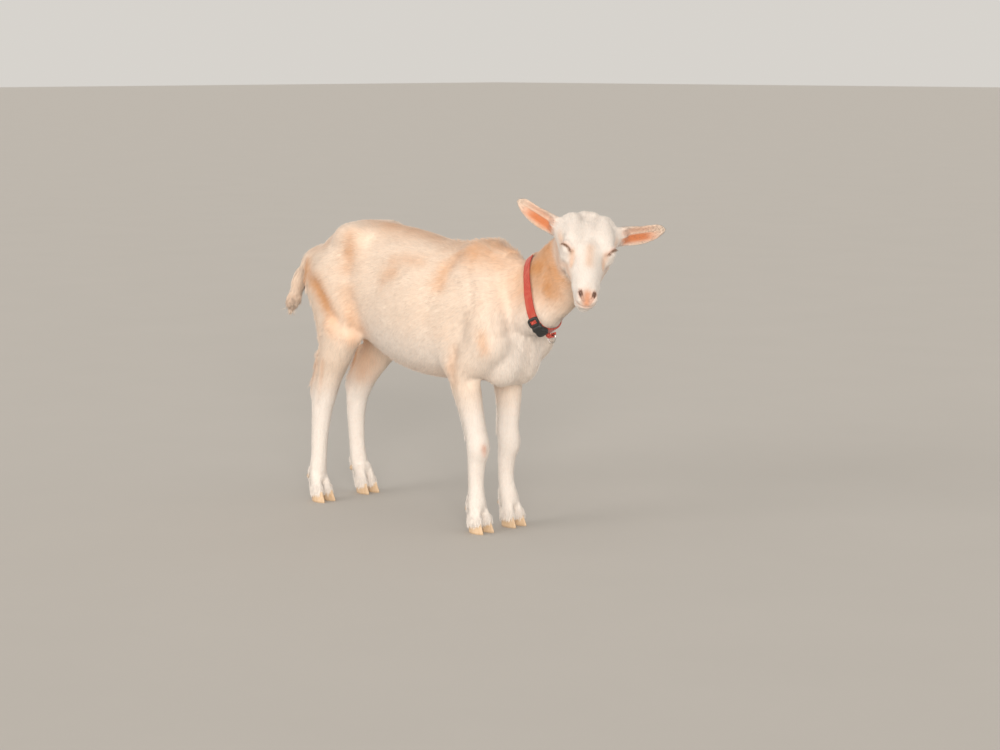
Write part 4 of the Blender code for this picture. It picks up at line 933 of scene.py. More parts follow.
# %% Unwrap the skin
def unwrap(piece):
    """Blender's smart projection, kept under the name OFBake; returns one place for each face corner."""
    piece.data.uv_layers.new(name="OFBake")
    bpy.context.view_layer.objects.active = piece
    bpy.ops.object.mode_set(mode="EDIT")
    bpy.ops.mesh.select_all(action="SELECT")
    bpy.ops.uv.smart_project(angle_limit=np.radians(66), island_margin=0.002)
    bpy.ops.object.mode_set(mode="OBJECT")
    places = np.empty(len(piece.data.loops) * 2, np.float32)
    piece.data.uv_layers["OFBake"].data.foreach_get("uv", places)
    return places.reshape(-1, 2)


skin_uv = unwrap(skin).reshape(-1, 4, 2)
print("patches lie from", skin_uv.min((0, 1)).round(3), "to", skin_uv.max((0, 1)).round(3))

# %% [markdown]
# ## The lie of the coat
#
# Hair grows in streams: backwards and down along the trunk, down the legs, from the nose up over the
# forehead, and out along the ears. A direction is blended for each place from these streams, laid flat
# on the skin, and turned a little by slow waves so that the coat never looks combed by machine.

# %% Streams of hair
def laid_flat(way, normal, share=1.0):
    """A direction less its part along the normal, or less a share of that part."""
    return unit(way - np.einsum("ij,ij->i", way, normal)[:, None] * normal * share)


def waves(p, scale, seed):
    """A sum of five sine waves in random directions, of about the given wavelength, between -1 and 1."""
    rng = np.random.default_rng(seed)
    ways = unit(rng.normal(size=(5, 3))) * (2 * np.pi / scale) * rng.uniform(0.6, 1.6, (5, 1))
    return np.sin(p @ ways.T + rng.uniform(0, 6.28, 5)).mean(1) * 1.6


def toward(way, weight, total):
    """Blends one stream into the total by a share from 0 to 1."""
    return total + (np.asarray(way, float) - total) * weight[:, None]


def lie_of_coat(p, normals, unrest=1.0):
    """The stream at each point, laid on the skin, and turned about the normal by two sets of waves."""
    x, y, z = p.T
    low = smooth_step(0.50, 0.33, z)
    way = np.stack([-np.ones_like(x), 0 * x, -0.28 - 0.75 * low], 1)
    way = toward((-0.75, 0, -0.70), smooth_step(0.24, 0.32, x), way)
    way = toward((-0.12, 0, -1.0), smooth_step(0.22, 0.30, x) * smooth_step(0.46, 0.40, z), way)
    leg = smooth_step(0.38, 0.28, z) * np.maximum(smooth_step(0.13, 0.17, x), smooth_step(-0.08, -0.14, x))
    way = toward((-0.10, 0, -1.0), leg, way)
    way = toward((-0.30, 0, -1.0), smooth_step(-0.17, -0.25, x), way)
    way = toward((-0.28, 0, -1.0), smooth_step(-0.29, -0.32, x), way)
    h = on_head_axes(p)
    back = np.stack([-np.ones_like(x), 0.25 * np.sign(h[:, 1]) * smooth_step(0.0, 0.03, np.abs(h[:, 1])),
                     -0.9 * smooth_step(-0.015, -0.045, h[:, 2])], 1) @ HEAD
    way = toward(back, smooth_step(0.35, 0.65, head_share(p)), way)
    for side, ear in EARS.items():
        s, t, n = ear.place(p)
        beside = smooth_step(-0.005, 0.012, s) * (1 - smooth_step(0.026, 0.036, np.sqrt(t * t + n * n)))
        way = toward(ear.along, beside, way)
    way = laid_flat(way, normals)
    turn = unrest * (0.20 * waves(p, 0.12, 3) + 0.09 * waves(p, 0.035, 4))
    across = np.cross(normals, way)
    return unit(way * np.cos(turn)[:, None] + across * np.sin(turn)[:, None])


# %% [markdown]
# ## Planting tufts
#
# The coat is solid mesh, so it is made of many small locks. Roots are spread over the skin's quads in
# step with area and wanted density: the running total of all quads is cut into equal shares with a little
# jitter, which leaves neither bald nor crowded spots. A lock is a slim three-sided spike: a root triangle
# sunk in the skin, up to two bent rings, and a point that lies down again beside its neighbours.

# %% Roots spread over the skin
quad_corners = skin_points[skin_quads]
quad_middles = quad_corners.mean(1)
quad_areas = np.linalg.norm(np.cross(quad_corners[:, 2] - quad_corners[:, 0],
                                     quad_corners[:, 3] - quad_corners[:, 1]), axis=1) / 2
quad_normals = unit(skin_normals[skin_quads].sum(1))


def roots(count, density, seed):
    """Equal shares of the running total of area times density, then an even random place in each quad."""
    rng = np.random.default_rng(seed)
    total = np.cumsum(quad_areas * density)
    pick = np.searchsorted(total, (np.arange(count) + rng.uniform(0, 1, count)) / count * total[-1])
    pick = np.minimum(pick, len(total) - 1)
    a, b = rng.uniform(0, 1, (2, count, 1))
    share = np.stack([(1 - a) * (1 - b), a * (1 - b), a * b, (1 - a) * b], 1)
    place = (quad_corners[pick] * share).sum(1)
    normal = unit((skin_normals[skin_quads[pick]] * share).sum(1))
    return place, normal, (skin_uv[pick] * share).sum(1)


# %% Locks as arrays
PATCH_SIZE = 0.0015    # half the side of a lock's patch on the skin's map


def lock_faces(rings):
    """Faces of one lock: a root triangle, three quads between two rings, and three sides to the tip."""
    quads = [(3 * r + i, 3 * r + (i + 1) % 3, 3 * r + 3 + (i + 1) % 3, 3 * r + 3 + i)
             for r in range(rings - 1) for i in range(3)]
    last = 3 * (rings - 1)
    tris = [(2, 1, 0)] + [(last + i, last + (i + 1) % 3, last + 3) for i in range(3)]
    return np.array(quads, int).reshape(-1, 4), np.array(tris)


def lock_patch(rings, quads, tris):
    """A place on the small map patch for each face corner: three strips side by side, root to tip."""
    height = np.append(np.repeat(np.linspace(-1, 0.4, rings), 3), 1.0)
    strips = []
    for face in list(quads) + list(tris):
        if tuple(face) == (2, 1, 0):
            strips += [(-0.9, -1.0), (0.0, -0.7), (0.9, -1.0)]
            continue
        side = face[0] % 3
        left, right = -1 + side * 2 / 3, -1 + (side + 1) * 2 / 3
        for v in face:
            edge = right if v % 3 == (side + 1) % 3 else left
            strips.append(((left + right) / 2 if v == 3 * rings else edge, height[v]))
    return np.array(strips) * PATCH_SIZE


def locks(name, place, normal, uv, way, length, width, lift, rings=2, slot="coat", curl=0.0, seed=1,
          sink=0.0006, round_off=0.42):
    """Centre line: root + way * length * t + normal * lift * (1 - (1 - t)^2) + sideways bend * t^2.

    Locks shade with the skin's normals, turned by round_off at their sides, or as they are when it is 0.
    """
    rng = np.random.default_rng(seed)
    count = len(place)
    across = unit(np.cross(normal, way))
    t = np.append(np.linspace(0, 1, rings + 1)[:-1] ** 0.9, 1.0)
    bow = (curl * length * rng.normal(0, 1, count))[:, None, None]
    line = (place[:, None] + (way * length[:, None])[:, None] * t[:, None]
            + (normal * lift[:, None])[:, None] * (1 - (1 - t) ** 2)[:, None]
            + across[:, None] * bow * (t * t)[:, None])
    line[:, 0] -= normal * sink
    half = width[:, None] / 2 * (1 - 0.55 * t[:-1] ** 1.5)
    tilt = rng.uniform(-0.5, 0.5, (count, 1))
    out = normal[:, None] + across[:, None] * tilt[:, None]
    ring = [line[:, :-1] + across[:, None] * half[..., None],
            line[:, :-1] + out * (half * 0.75)[..., None],
            line[:, :-1] - across[:, None] * half[..., None]]
    points = np.concatenate([np.stack(ring, 2).reshape(count, -1, 3), line[:, -1:]], 1)
    quads, tris = lock_faces(rings)
    start = np.arange(count)[:, None, None] * (3 * rings + 1)
    soft = unit(normal[:, None] + across[:, None] * np.array([round_off, 0, -round_off])[None, :, None])
    soft = np.concatenate([np.tile(soft, (1, rings, 1)), unit(normal + 0.15 * way)[:, None]], 1)
    faces = [(quads + start).reshape(-1, 4), (tris + start).reshape(-1, 3)]
    piece = made(name, points.reshape(-1, 3), faces, slot)
    if round_off:
        piece.data.normals_split_custom_set_from_vertices(soft.reshape(-1, 3))
    patch = lock_patch(rings, quads, tris)
    corners = np.concatenate([(uv[:, None] + patch[:quads.size]).reshape(-1, 2),
                              (uv[:, None] + patch[quads.size:]).reshape(-1, 2)])
    corners = np.clip(corners, 0, 1).astype(np.float32).ravel()
    piece.data.uv_layers.new(name="OFBake").data.foreach_set("uv", corners)
    store(piece, "marks", np.repeat(markings(place), 3 * rings + 1, axis=0), "FLOAT_COLOR")
    store(piece, "tone", np.repeat(rng.uniform(0, 1, count), 3 * rings + 1))
    store(piece, "tip", np.tile(np.append(np.repeat(t[:-1], 3), 1.0), count))
    return piece


print("a body lock has", len(lock_faces(1)[1]), "triangles")

# %% [markdown]
# ## The body coat
#
# A young dairy goat's coat is short and dense. On trunk and neck the locks are 13 to 16 mm long, give or
# take a quarter, and lie close; they shorten down the legs and again on the face. One size is worked out
# for every place, and the roots stand closer where the locks are smaller.

# %% Size of the locks at each place
def lock_length(p):
    """12.8 mm on the body, 15.8 under it, blended to 8 on legs, 4.6 to 7.2 on the face, 4 on the ears."""
    x, z = p[:, 0], p[:, 2]
    under = smooth_step(0.36, 0.29, z) * smooth_step(-0.14, -0.08, x) * smooth_step(0.20, 0.14, x)
    length = 0.0128 + 0.003 * under
    length = length + (0.0080 - length) * smooth_step(0.33, 0.20, z) * (np.abs(x - 0.03) > 0.13)
    face = head_share(p)
    h = on_head_axes(p)
    length = length + (0.0046 + 0.0026 * smooth_step(0.05, 0.01, h[:, 0]) - length) * face
    return length + (0.0040 - length) * ear_share(p)


def shuffled(values, spread, seed):
    """Each value times one plus an even random share."""
    return values * (1 + np.random.default_rng(seed).uniform(-spread, spread, len(values)))


middle_x, middle_y, middle_z = quad_middles.T
middle_length = lock_length(quad_middles)
on_ear = ear_share(quad_middles)
on_face = head_share(quad_middles) * (1 - on_ear)
body = (middle_z > 0.016) & (on_face < 0.6) & (on_ear < 0.5)    # from the claws up to the head
body_part = {
    "hind": (middle_x < -0.09) & ((middle_x > -0.372) | (middle_z > 0.405)),
    "middle": (middle_x >= -0.09) & (middle_x < 0.10),
    "fore": (middle_x >= 0.10) & (middle_x < 0.275),
    "neck": (middle_x >= 0.275) & (on_face < 0.5),
}
COVER = 1.85    # how many locks lie over each spot, on average
SLIM, NAP_SLIM = 0.088, 0.16    # width of a body lock and of a spike of the nap, as shares of their length


def plant(part, side, need, seed, slim, spreads, raised, unrest=1.0, **looks):
    """As many locks as area times need, one root ring each; their lengths and lifts vary by the spreads."""
    count = int((quad_areas * need).sum())
    place, normal, uv = roots(count, need, seed)
    length = shuffled(lock_length(place), spreads[0], seed + 10)
    lift = raised(place) * shuffled(np.ones(count), spreads[1], seed + 20)
    piece = locks("coat_%s_%s" % (part, side), place, normal, uv, lie_of_coat(place, normal, unrest), length,
                  length * slim, lift, rings=1, curl=0.05, seed=seed + 30, **looks)
    print(piece.name, count, "locks,", count * 4, "triangles")


def body_lift(p):
    """Six tenths of the coat's depth, more or less with slow waves."""
    return coat_depth(p) * (0.62 + 0.08 * waves(p, 0.030, 5))


for number, (part, where) in enumerate(body_part.items()):
    for side, left in (("left", True), ("right", False)):
        here = where & ((middle_y > 0) == left) & body
        need = here * COVER / (middle_length * middle_length * SLIM * 0.70)
        plant(part, side, need, 10 + number, SLIM, (0.25, 0.25), body_lift, round_off=0.75)

# %% [markdown]
# ## Face and ears
#
# Here the coat is so short that it works as a nap: its locks are straight spikes of four faces, small and
# dense. They lie from the nose up over the forehead and out along the ears, and stop at bare skin: nostrils,
# lips, the gap of the lids and the inside of the ears.

# %% The nap of face and ears
middle_marks = markings(quad_middles)
bare = np.clip(1.6 * middle_marks[:, 1] + 2.0 * middle_marks[:, 2], 0, 1)
middle_left = on_head_axes(quad_middles)[:, 1] > 0
nap_parts = [("face", (on_face >= 0.6) & (on_ear < 0.5), 1.5, "coat", 0.42),
             ("ear", on_ear >= 0.5, 1.3, "ear_coat", 0.0)]


def nap_lift(p):
    """Nine tenths of the coat's depth, and a fifth of a millimetre."""
    return coat_depth(p) * 0.9 + 0.0002


for number, (part, where, cover, slot, round_off) in enumerate(nap_parts):
    for side, left in (("left", True), ("right", False)):
        need = where * (middle_left == left) * (1 - 0.80 * bare) * cover
        need = need / (middle_length ** 2 * NAP_SLIM * 0.5)
        plant(part, side, need, 50 + number, NAP_SLIM, (0.3, 0.5), nap_lift, unrest=0.7, sink=0.0003,
              slot=slot, round_off=round_off)

# %% [markdown]
# ## Fringes
#
# Where the coat is longer it breaks the outline: along the belly and brisket, behind thighs and forearms,
# over the withers, at the poll and jaw, round the coronets, and most of all in the tail. These locks are
# longer and bend more, with three rings each.

# %% Longer locks where the coat breaks the form
def region(low, high):
    """1 for the quads whose middle is inside a box given by two corners, 0 for the others."""
    return ((quad_middles >= low) & (quad_middles <= high)).all(1).astype(float)


nx, _, nz = quad_normals.T
near_middle = np.abs(middle_y) < 0.035
head_u, _, head_w = on_head_axes(quad_middles).T
on_skull = on_face > 0.3
FRINGES = [  # name, where, count, length, width, lift, curl, round_off
    ("belly", region((-0.14, -0.1, 0.25), (0.18, 0.1, 0.335)) * smooth_step(-0.60, -0.9, nz),
     3000, 0.015, 0.0008, 0.0040, 0.06, 0.7),
    ("brisket", region((0.20, -0.09, 0.27), (0.36, 0.09, 0.44)) * smooth_step(0.2, 0.7, nx - 0.5 * nz)
     * near_middle, 900, 0.012, 0.0010, 0.0028, 0.06, 0.7),
    ("hams", region((-0.31, -0.1, 0.24), (-0.17, 0.1, 0.50)) * smooth_step(0.35, 0.8, -nx),
     3000, 0.014, 0.0009, 0.0042, 0.10, 0.0),
    ("forearms", region((0.14, -0.1, 0.185), (0.24, 0.1, 0.335)) * smooth_step(0.4, 0.8, -nx),
     1500, 0.012, 0.0009, 0.0036, 0.10, 0.0),
    ("withers", region((0.10, -0.04, 0.50), (0.24, 0.04, 0.60)) * smooth_step(0.6, 0.9, nz),
     600, 0.010, 0.0011, 0.0048, 0.08, 0.7),
    ("tail", region((-0.40, -0.05, 0.400), (-0.345, 0.05, 0.470)), 2200, 0.020, 0.0011, 0.0048, 0.06, 0.7),
    ("tail_tip", region((-0.40, -0.05, 0.36), (-0.350, 0.05, 0.42)), 2500, 0.022, 0.0011, 0.0064, 0.08, 0.0),
    ("coronets", region((-0.30, -0.1, 0.0195), (0.25, 0.1, 0.0370)), 3600, 0.0105, 0.0010, 0.0026, 0.08, 0.7),
    ("pasterns", region((-0.30, -0.1, 0.0370), (0.25, 0.1, 0.075)) * smooth_step(0.1, 0.6, -nx),
     1400, 0.011, 0.0010, 0.0034, 0.10, 0.7),
    ("poll", on_skull * (head_u < 0.036) * (head_w > -0.035), 500, 0.0060, 0.0008, 0.0012, 0.12, 0.7),
    ("jaw", on_skull * (head_u > 0.03) * (head_u < 0.12) * (head_w < -0.030),
     2300, 0.0080, 0.0009, 0.0019, 0.22, 0.7),
]
EVERYWHERE = 1e-9    # keeps the running total rising where a fringe has no place
for number, (part, where, count, length, width, lift, curl, round_off) in enumerate(FRINGES):
    place, normal, uv = roots(count, where + EVERYWHERE, 100 + number)
    spread = shuffled(np.ones(count), 0.35, 120 + number)
    way = lie_of_coat(place, normal)
    locks("coat_" + part, place, normal, uv, way, length * spread, width * spread,
          lift * shuffled(np.ones(count), 0.45, 140 + number), rings=3, curl=curl, seed=160 + number,
          round_off=round_off)
print("fringes", sum(row[2] for row in FRINGES), "locks")

# %% [markdown]
# ## Shut eyes and their lashes
#
# She squints in the light, so only a dark curved line of each eye shows, edged with lashes; that line is
# painted shade in the skin's slit. The ball still sits behind the lids at its real size and depth, with an
# amber iris and a level slot of a pupil, and the lashes are fine dark locks rooted along both edges of the
# slit.

# %% Eyeballs
EYE_PLACE, EYE_RADIUS = (0.0785, 0.0365, -0.0135), 0.0112


def ball(centre, radii, axes, rows=28, columns=48):
    """Ellipsoid: radius times (cos a cos b, sin a cos b, sin b), poles closed with triangles."""
    b = np.linspace(-np.pi / 2, np.pi / 2, rows + 1)[1:-1, None]
    a = np.arange(columns)[None] / columns * 2 * np.pi
    grid = np.stack([np.cos(a) * np.cos(b), np.sin(a) * np.cos(b), np.sin(b) + 0 * a], -1).reshape(-1, 3)
    unit_ball = np.vstack([grid, [0, 0, -1], [0, 0, 1]])
    return np.asarray(centre) + (unit_ball * radii) @ axes, closed_tube(rows - 1, columns)


eyes = {}
for side, s in (("left", 1), ("right", -1)):
    u, v, w = EYE_PLACE
    gaze = unit(np.array([0.05, s * 0.78, 0.62]) @ HEAD)
    level = unit(np.cross(gaze, [0.0, 0.0, 1.0]))
    axes = np.array([level, np.cross(gaze, level), gaze])
    points, faces = ball(on_head(u, s * v, w), EYE_RADIUS * 0.97, axes)
    eyes[side] = made("eyeball_" + side, points, faces, "eye", replaces=["eye_" + side])
    rel = (points - on_head(u, s * v, w)) @ axes.T / EYE_RADIUS
    store(eyes[side], "gaze", np.column_stack([rel * 0.5 + 0.5, np.ones(len(rel))]), "FLOAT_COLOR")
print("eyeballs", list(eyes))

# %% Lashes along the slit
LASHES, LASH_WIDTH = 90, 0.00042
slit = through_stations(SLIT, 12)
for side, s in (("left", 1), ("right", -1)):
    rng = np.random.default_rng(7)
    t = np.sort(rng.uniform(0.04, 0.96, LASHES))
    at = np.stack([np.interp(t, np.linspace(0, 1, len(slit)), slit[:, a]) for a in range(3)], 1)
    upper = rng.uniform(0, 1, LASHES) < 0.68
    at = at + np.where(upper[:, None], [-0.0010, 0, 0.0004], [0.0011, 0, 0.0])
    at = at + rng.normal(0, 0.00025, (LASHES, 3))
    out = at - EYE_PLACE
    way = np.where(upper[:, None], [0.75, 0.35, -0.15], [0.9, 0.2, -0.5])
    way = unit(way + rng.normal(0, 0.13, (LASHES, 3)))
    mirror = np.array([1, s, 1])
    place, normal, way = POLL + (at * mirror) @ HEAD, unit(out * mirror) @ HEAD, (way * mirror) @ HEAD
    way = laid_flat(way, normal, 0.8)
    length = np.where(upper, 0.0066, 0.0036) * rng.uniform(0.7, 1.1, LASHES)
    near = np.argmin(((quad_middles[:, None] - place[None, ::9]) ** 2).sum(2), axis=0)
    uv = np.repeat(skin_uv[near].mean(1), 9, axis=0)[:LASHES]
    lash = locks("lashes_" + side, place, normal, uv, way, length, length * 0 + LASH_WIDTH, length * 0.22,
                 rings=2, seed=9, sink=0.0004, slot="eye")
    print(lash.name, LASHES, "hairs")

# %% [markdown]
# ## Claws
#
# Each foot has two claws, like two halves of a hoof: pointed at the toe, round at the heel, the outer wall
# full and the inner wall flat. The wall is a stack of outlines from ground to coronet, leaning back as it
# rises, with faint growth rings and a worn, rounded edge. Behind the fetlock sit two blunt dewclaws.

# %% Claws as stacks of outlines
def squared_off(wave, power):
    """The size of a wave raised to a power below one, which fills the corners, with its sign kept."""
    return np.sign(wave) * np.abs(wave) ** power


def claw(name, tip_x, middle_y, outer, turn, columns=56, rows=15):
    """Outline: length by cosine, half width by sine, pinched to the toe; rows are drawn in and lean back."""
    a = np.arange(columns) / columns * 2 * np.pi
    along = 0.5 + 0.5 * squared_off(np.cos(a), 0.85)
    pinch = 1 - 0.46 * np.clip((along - 0.30) / 0.70, 0, 1) ** 2.2
    half = CLAW_WIDTH * 0.5 * np.sin(a) * pinch
    half = np.where(np.sin(a) * outer > 0, half, half * 0.60)
    t = np.linspace(0, 1, rows)[:, None]
    worn = 1 - 0.07 * np.exp(-(t / 0.06) ** 2)
    rings = 1 + 0.010 * np.sin(t * 21 + 2 * np.cos(a)) * smooth_step(0.08, 0.2, t)
    swell = 1 + 0.05 * np.sin(np.pi * t) - 0.06 * t
    x = (along - 0.45) * CLAW_LENGTH * (1 - 0.24 * t) * worn * rings + (0.45 - 1) * CLAW_LENGTH - 0.0042 * t
    y = half * swell * worn * rings
    turn = np.radians(turn)
    gx, gy = tip_x + x * np.cos(turn) - y * np.sin(turn), middle_y + x * np.sin(turn) + y * np.cos(turn)
    slope = (TOE_HEIGHT - HEEL_HEIGHT) / CLAW_LENGTH
    z = (HEEL_HEIGHT + slope * (gx - tip_x + CLAW_LENGTH)) * t
    wall = np.stack([gx, gy, z], -1).reshape(-1, 3)
    ends = np.array([wall[:columns].mean(0) + [0, 0, 0.0008], wall[-columns:].mean(0)])
    piece = made(name, np.vstack([wall, ends]), closed_tube(rows, columns), "hoof_horn")
    store(piece, "height", np.append(np.repeat(t[:, 0], columns), [0, 1]))
    piece.data.set_sharp_from_angle(angle=np.radians(50))
    return piece


DEW_RADII, DEW_LEAN = (0.0046, 0.0050, 0.0085), np.radians(28)
dew_axes = np.array([[np.cos(DEW_LEAN), 0, -np.sin(DEW_LEAN)], [0, 1, 0],
                     [np.sin(DEW_LEAN), 0, np.cos(DEW_LEAN)]])
claws, dewclaws = [], []
for which, side, s, tip_x, y, dew_x in FEET:
    for k, place in ((1, "outer"), (-1, "inner")):
        label = "%s_%s_%s" % (which, side, place)
        piece = claw("claw_" + label, tip_x, y + s * k * CLAW_SPREAD, s * k, s * k * 8)
        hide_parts("hoof_" + label)
        claws.append(piece)
        spot = (dew_x, y + s * k * 0.0105, 0.046 if which == "fore" else 0.050)
        points, faces = ball(spot, DEW_RADII, dew_axes, rows=16, columns=24)
        below = (points - spot) @ dew_axes[2] + 0.002
        points = points - np.minimum(below, 0)[:, None] * dew_axes[2] * 0.35    # a blunter lower end
        dewclaws.append(made("dew_" + label, points, faces, "dewclaw_horn", replaces=["dewclaw_" + label]))
print(len(claws), "claws,", len(dewclaws), "dewclaws")

# %% [markdown]
# ## The collar
#
# She wears a flat collar of coral-red nylon webbing, 17.5 mm wide. It lies on the coat, so its line is found
# by walking outwards from the middle of the neck until the coat's surface is met. Everything on the collar
# is then made on a flat sheet - along the strap, across it, and up from it - and wrapped round that line.

# %% The line of the collar
COLLAR_TOP, COLLAR_BOTTOM = np.array([0.320, 0.0, 0.517]), np.array([0.358, 0.0, 0.391])
COLLAR_WIDTH, COLLAR_THICKNESS, COLLAR_SINK = 0.0175, 0.0030, 0.0012
COLLAR_UP = unit(COLLAR_TOP - COLLAR_BOTTOM)
COLLAR_OUT = np.cross(LEFT, COLLAR_UP)
COLLAR_MIDDLE = (COLLAR_TOP + COLLAR_BOTTOM) / 2
GIRTH_ANGLES = np.linspace(0, 2 * np.pi, 45)


def girth(offset):
    """Radius of the coat round the neck in 44 directions: where the form's level first turns positive."""
    steps = np.linspace(0.02, 0.11, 361)
    rays = COLLAR_UP * np.cos(GIRTH_ANGLES)[:, None] + LEFT * np.sin(GIRTH_ANGLES)[:, None]
    start = COLLAR_MIDDLE + COLLAR_OUT * offset
    level = flesh((start + rays[:, None] * steps[None, :, None]).reshape(-1, 3)).reshape(len(rays), -1)
    return steps[np.argmax(level > 0, axis=1)]


BACK_GIRTH, FRONT_GIRTH = girth(-COLLAR_WIDTH / 2), girth(COLLAR_WIDTH / 2)


def wrapped(angle, across, up):
    """A point at an angle round the neck, across the strap, and up from the coat's surface."""
    turn = np.mod(angle, 2 * np.pi)
    low, high = np.interp(turn, GIRTH_ANGLES, BACK_GIRTH), np.interp(turn, GIRTH_ANGLES, FRONT_GIRTH)
    radius = low + (high - low) * (across + COLLAR_WIDTH / 2) / COLLAR_WIDTH + up
    ray = COLLAR_UP * np.cos(angle)[..., None] + LEFT * np.sin(angle)[..., None]
    return COLLAR_MIDDLE + COLLAR_OUT * across[..., None] + ray * radius[..., None]


MEAN_GIRTH = (BACK_GIRTH.mean() + FRONT_GIRTH.mean()) / 2
print("collar length %.0f mm" % (2 * np.pi * MEAN_GIRTH * 1000))

# %% [markdown]
# ### Webbing
#
# Nylon webbing has a flat face with fine ribs across it and rounded, slightly raised selvedges. Its section
# is a closed outline carried round the neck. A map in metres, along and across, lets the weave follow it.

# %% Webbing round the neck
def strap_section(width, low, high, columns=36):
    """Rounded oblong: across follows a squared-off cosine, up a squared-off sine, with a raised selvedge."""
    a = np.arange(columns) / columns * 2 * np.pi
    c, s = np.cos(a), np.sin(a)
    across = width / 2 * squared_off(c, 0.55)
    up = (low + high) / 2 + (high - low) / 2 * squared_off(s, 0.45)
    raised = 0.00022 * np.exp(-((np.abs(across) - width * 0.46) / 0.0009) ** 2)
    return across, np.where(s > 0, up + raised, up)


def strap_map(piece, along, across, faces):
    """The map in metres: along from the row and across from the column of each face corner."""
    grid = np.stack([np.repeat(along, len(across)), np.tile(across, len(along))], 1)
    corner = grid[faces.ravel()].reshape(-1, 4, 2)
    jump = corner[:, :, 0].max(1) - corner[:, :, 0].min(1) > 0.1    # the quads where the strap's ends meet
    corner[jump, :, 0] += (corner[jump, :, 0] < 0.1) * 2 * np.pi * MEAN_GIRTH
    piece.data.uv_layers.new(name="strap").data.foreach_set("uv", corner.astype(np.float32).ravel())


STRAP_ROWS = 260
angle = np.arange(STRAP_ROWS) / STRAP_ROWS * 2 * np.pi
across, up = strap_section(COLLAR_WIDTH, -COLLAR_SINK, COLLAR_THICKNESS - COLLAR_SINK)
sway = 0.0004 * np.sin(5 * angle + 1.0)
every_angle, every_across = np.meshgrid(angle, across, indexing="ij")
points = wrapped(every_angle, every_across, up + sway[:, None] * 0.6)
faces = grid_faces(STRAP_ROWS, len(across), wrap_rows=True)
webbing = made("webbing", points.reshape(-1, 3), faces, "webbing", replaces=["collar_webbing"])
strap_map(webbing, angle * MEAN_GIRTH, across, faces)
print(webbing.name, len(faces), "quads")

# %% Crest hair lying back over the webbing
middle_on_collar = quad_middles - COLLAR_MIDDLE
ahead = middle_on_collar @ COLLAR_OUT
crest = ((ahead > 0.007) & (ahead < 0.024) & (np.abs(middle_y) < 0.010)
         & (middle_on_collar @ COLLAR_UP > 0.030)).astype(float)
CREST_LOCKS = 260
place, normal, uv = roots(CREST_LOCKS, crest + EVERYWHERE, 190)
spread = shuffled(np.ones(CREST_LOCKS), 0.30, 191)
way = unit(lie_of_coat(place, normal) * 0.4 - COLLAR_OUT)
way = laid_flat(way, normal)
lift = 0.0052 * shuffled(np.ones(CREST_LOCKS), 0.30, 192)
crest_hair = locks("coat_crest", place, normal, uv, way, 0.022 * spread, 0.0009 * spread, lift,
                   rings=3, curl=0.08, seed=193, round_off=0.7)
print(crest_hair.name, CREST_LOCKS, "locks")


# %% [markdown]
# ### Buckle
#
# The side-release buckle is two mouldings: a ladder frame that holds the strap's end, whose slot shows the
# webbing, and a curved socket with the two springy prongs showing in notches at its sides. Each is made
# flat as a cushion over an outline, then wrapped round the strap.

# %% Mouldings of the buckle
BUCKLE_LOW, BUCKLE_HALF = COLLAR_THICKNESS - COLLAR_SINK + 0.0003, 0.0112


RIM = [  # share of the outline, share of the height
    (0.0, 0.0), (0.93, 0.0), (1.0, 0.0), (1.0, 0.45), (0.992, 0.68), (0.965, 0.84), (0.91, 0.94),
    (0.80, 0.985), (0.5, 1.0), (0.2, 1.0), (0.0, 1.0)]


def moulding(name, start, end, outline, low, high, replaces=()):
    """Rings of one outline: up the side, round the top edge, then in to the middle; flat underneath."""
    middle, reach = np.radians((start + end) / 2), np.radians((end - start) / 2)
    share, level = np.array(RIM).T[:, :, None]
    x, y = outline[:, 0] * share, outline[:, 1] * share
    points = wrapped(middle + reach * x, y * BUCKLE_HALF, low + (high - low) * level * (1 - 0.10 * x ** 2))
    points = np.vstack([points[1:-1].reshape(-1, 3), points[0].mean(0), points[-1].mean(0)])
    return made(name, points, closed_tube(len(RIM) - 2, len(outline)), "buckle", replaces=replaces)


def outline_of(columns, power, notch_at=None, notch_depth=0.0, notch_width=0.2, waist=0.0):
    """A squared-off circle from -1 to 1 both ways; its sides are pinched at the notch and towards one end."""
    a = np.arange(columns) / columns * 2 * np.pi
    x, y = squared_off(np.cos(a), power), squared_off(np.sin(a), power)
    if notch_at is not None:
        y = y * (1 - notch_depth * np.exp(-np.abs((x - notch_at) / notch_width) ** 3))
    return np.stack([x, y * (1 - waist * smooth_step(0.2, 1.0, x))], 1)


def frame_of(name, start, end, bar, low, high, rows=72, columns=14):
    """A ladder frame: the section of its bar carried round an oblong, wrapped over the strap."""
    middle, reach = np.radians((start + end) / 2), abs(np.radians((end - start) / 2))
    long = reach * MEAN_GIRTH
    a = np.arange(rows) / rows * 2 * np.pi
    b = np.arange(columns) / columns * 2 * np.pi
    path_x = (long - bar / 2) * squared_off(np.cos(a), 0.35)
    path_y = (BUCKLE_HALF - bar / 2) * squared_off(np.sin(a), 0.35)
    out = unit(np.stack([path_x / long, path_y / BUCKLE_HALF], 1))
    grow = bar / 2 * squared_off(np.cos(b), 0.6)
    rise = (low + high) / 2 + (high - low) / 2 * squared_off(np.sin(b), 0.6)
    x = path_x[:, None] + out[:, :1] * grow
    y = path_y[:, None] + out[:, 1:] * grow
    points = wrapped(middle + x / MEAN_GIRTH, y, np.tile(rise, (rows, 1)))
    return made(name, points.reshape(-1, 3), grid_faces(rows, columns, wrap_rows=True), "buckle")


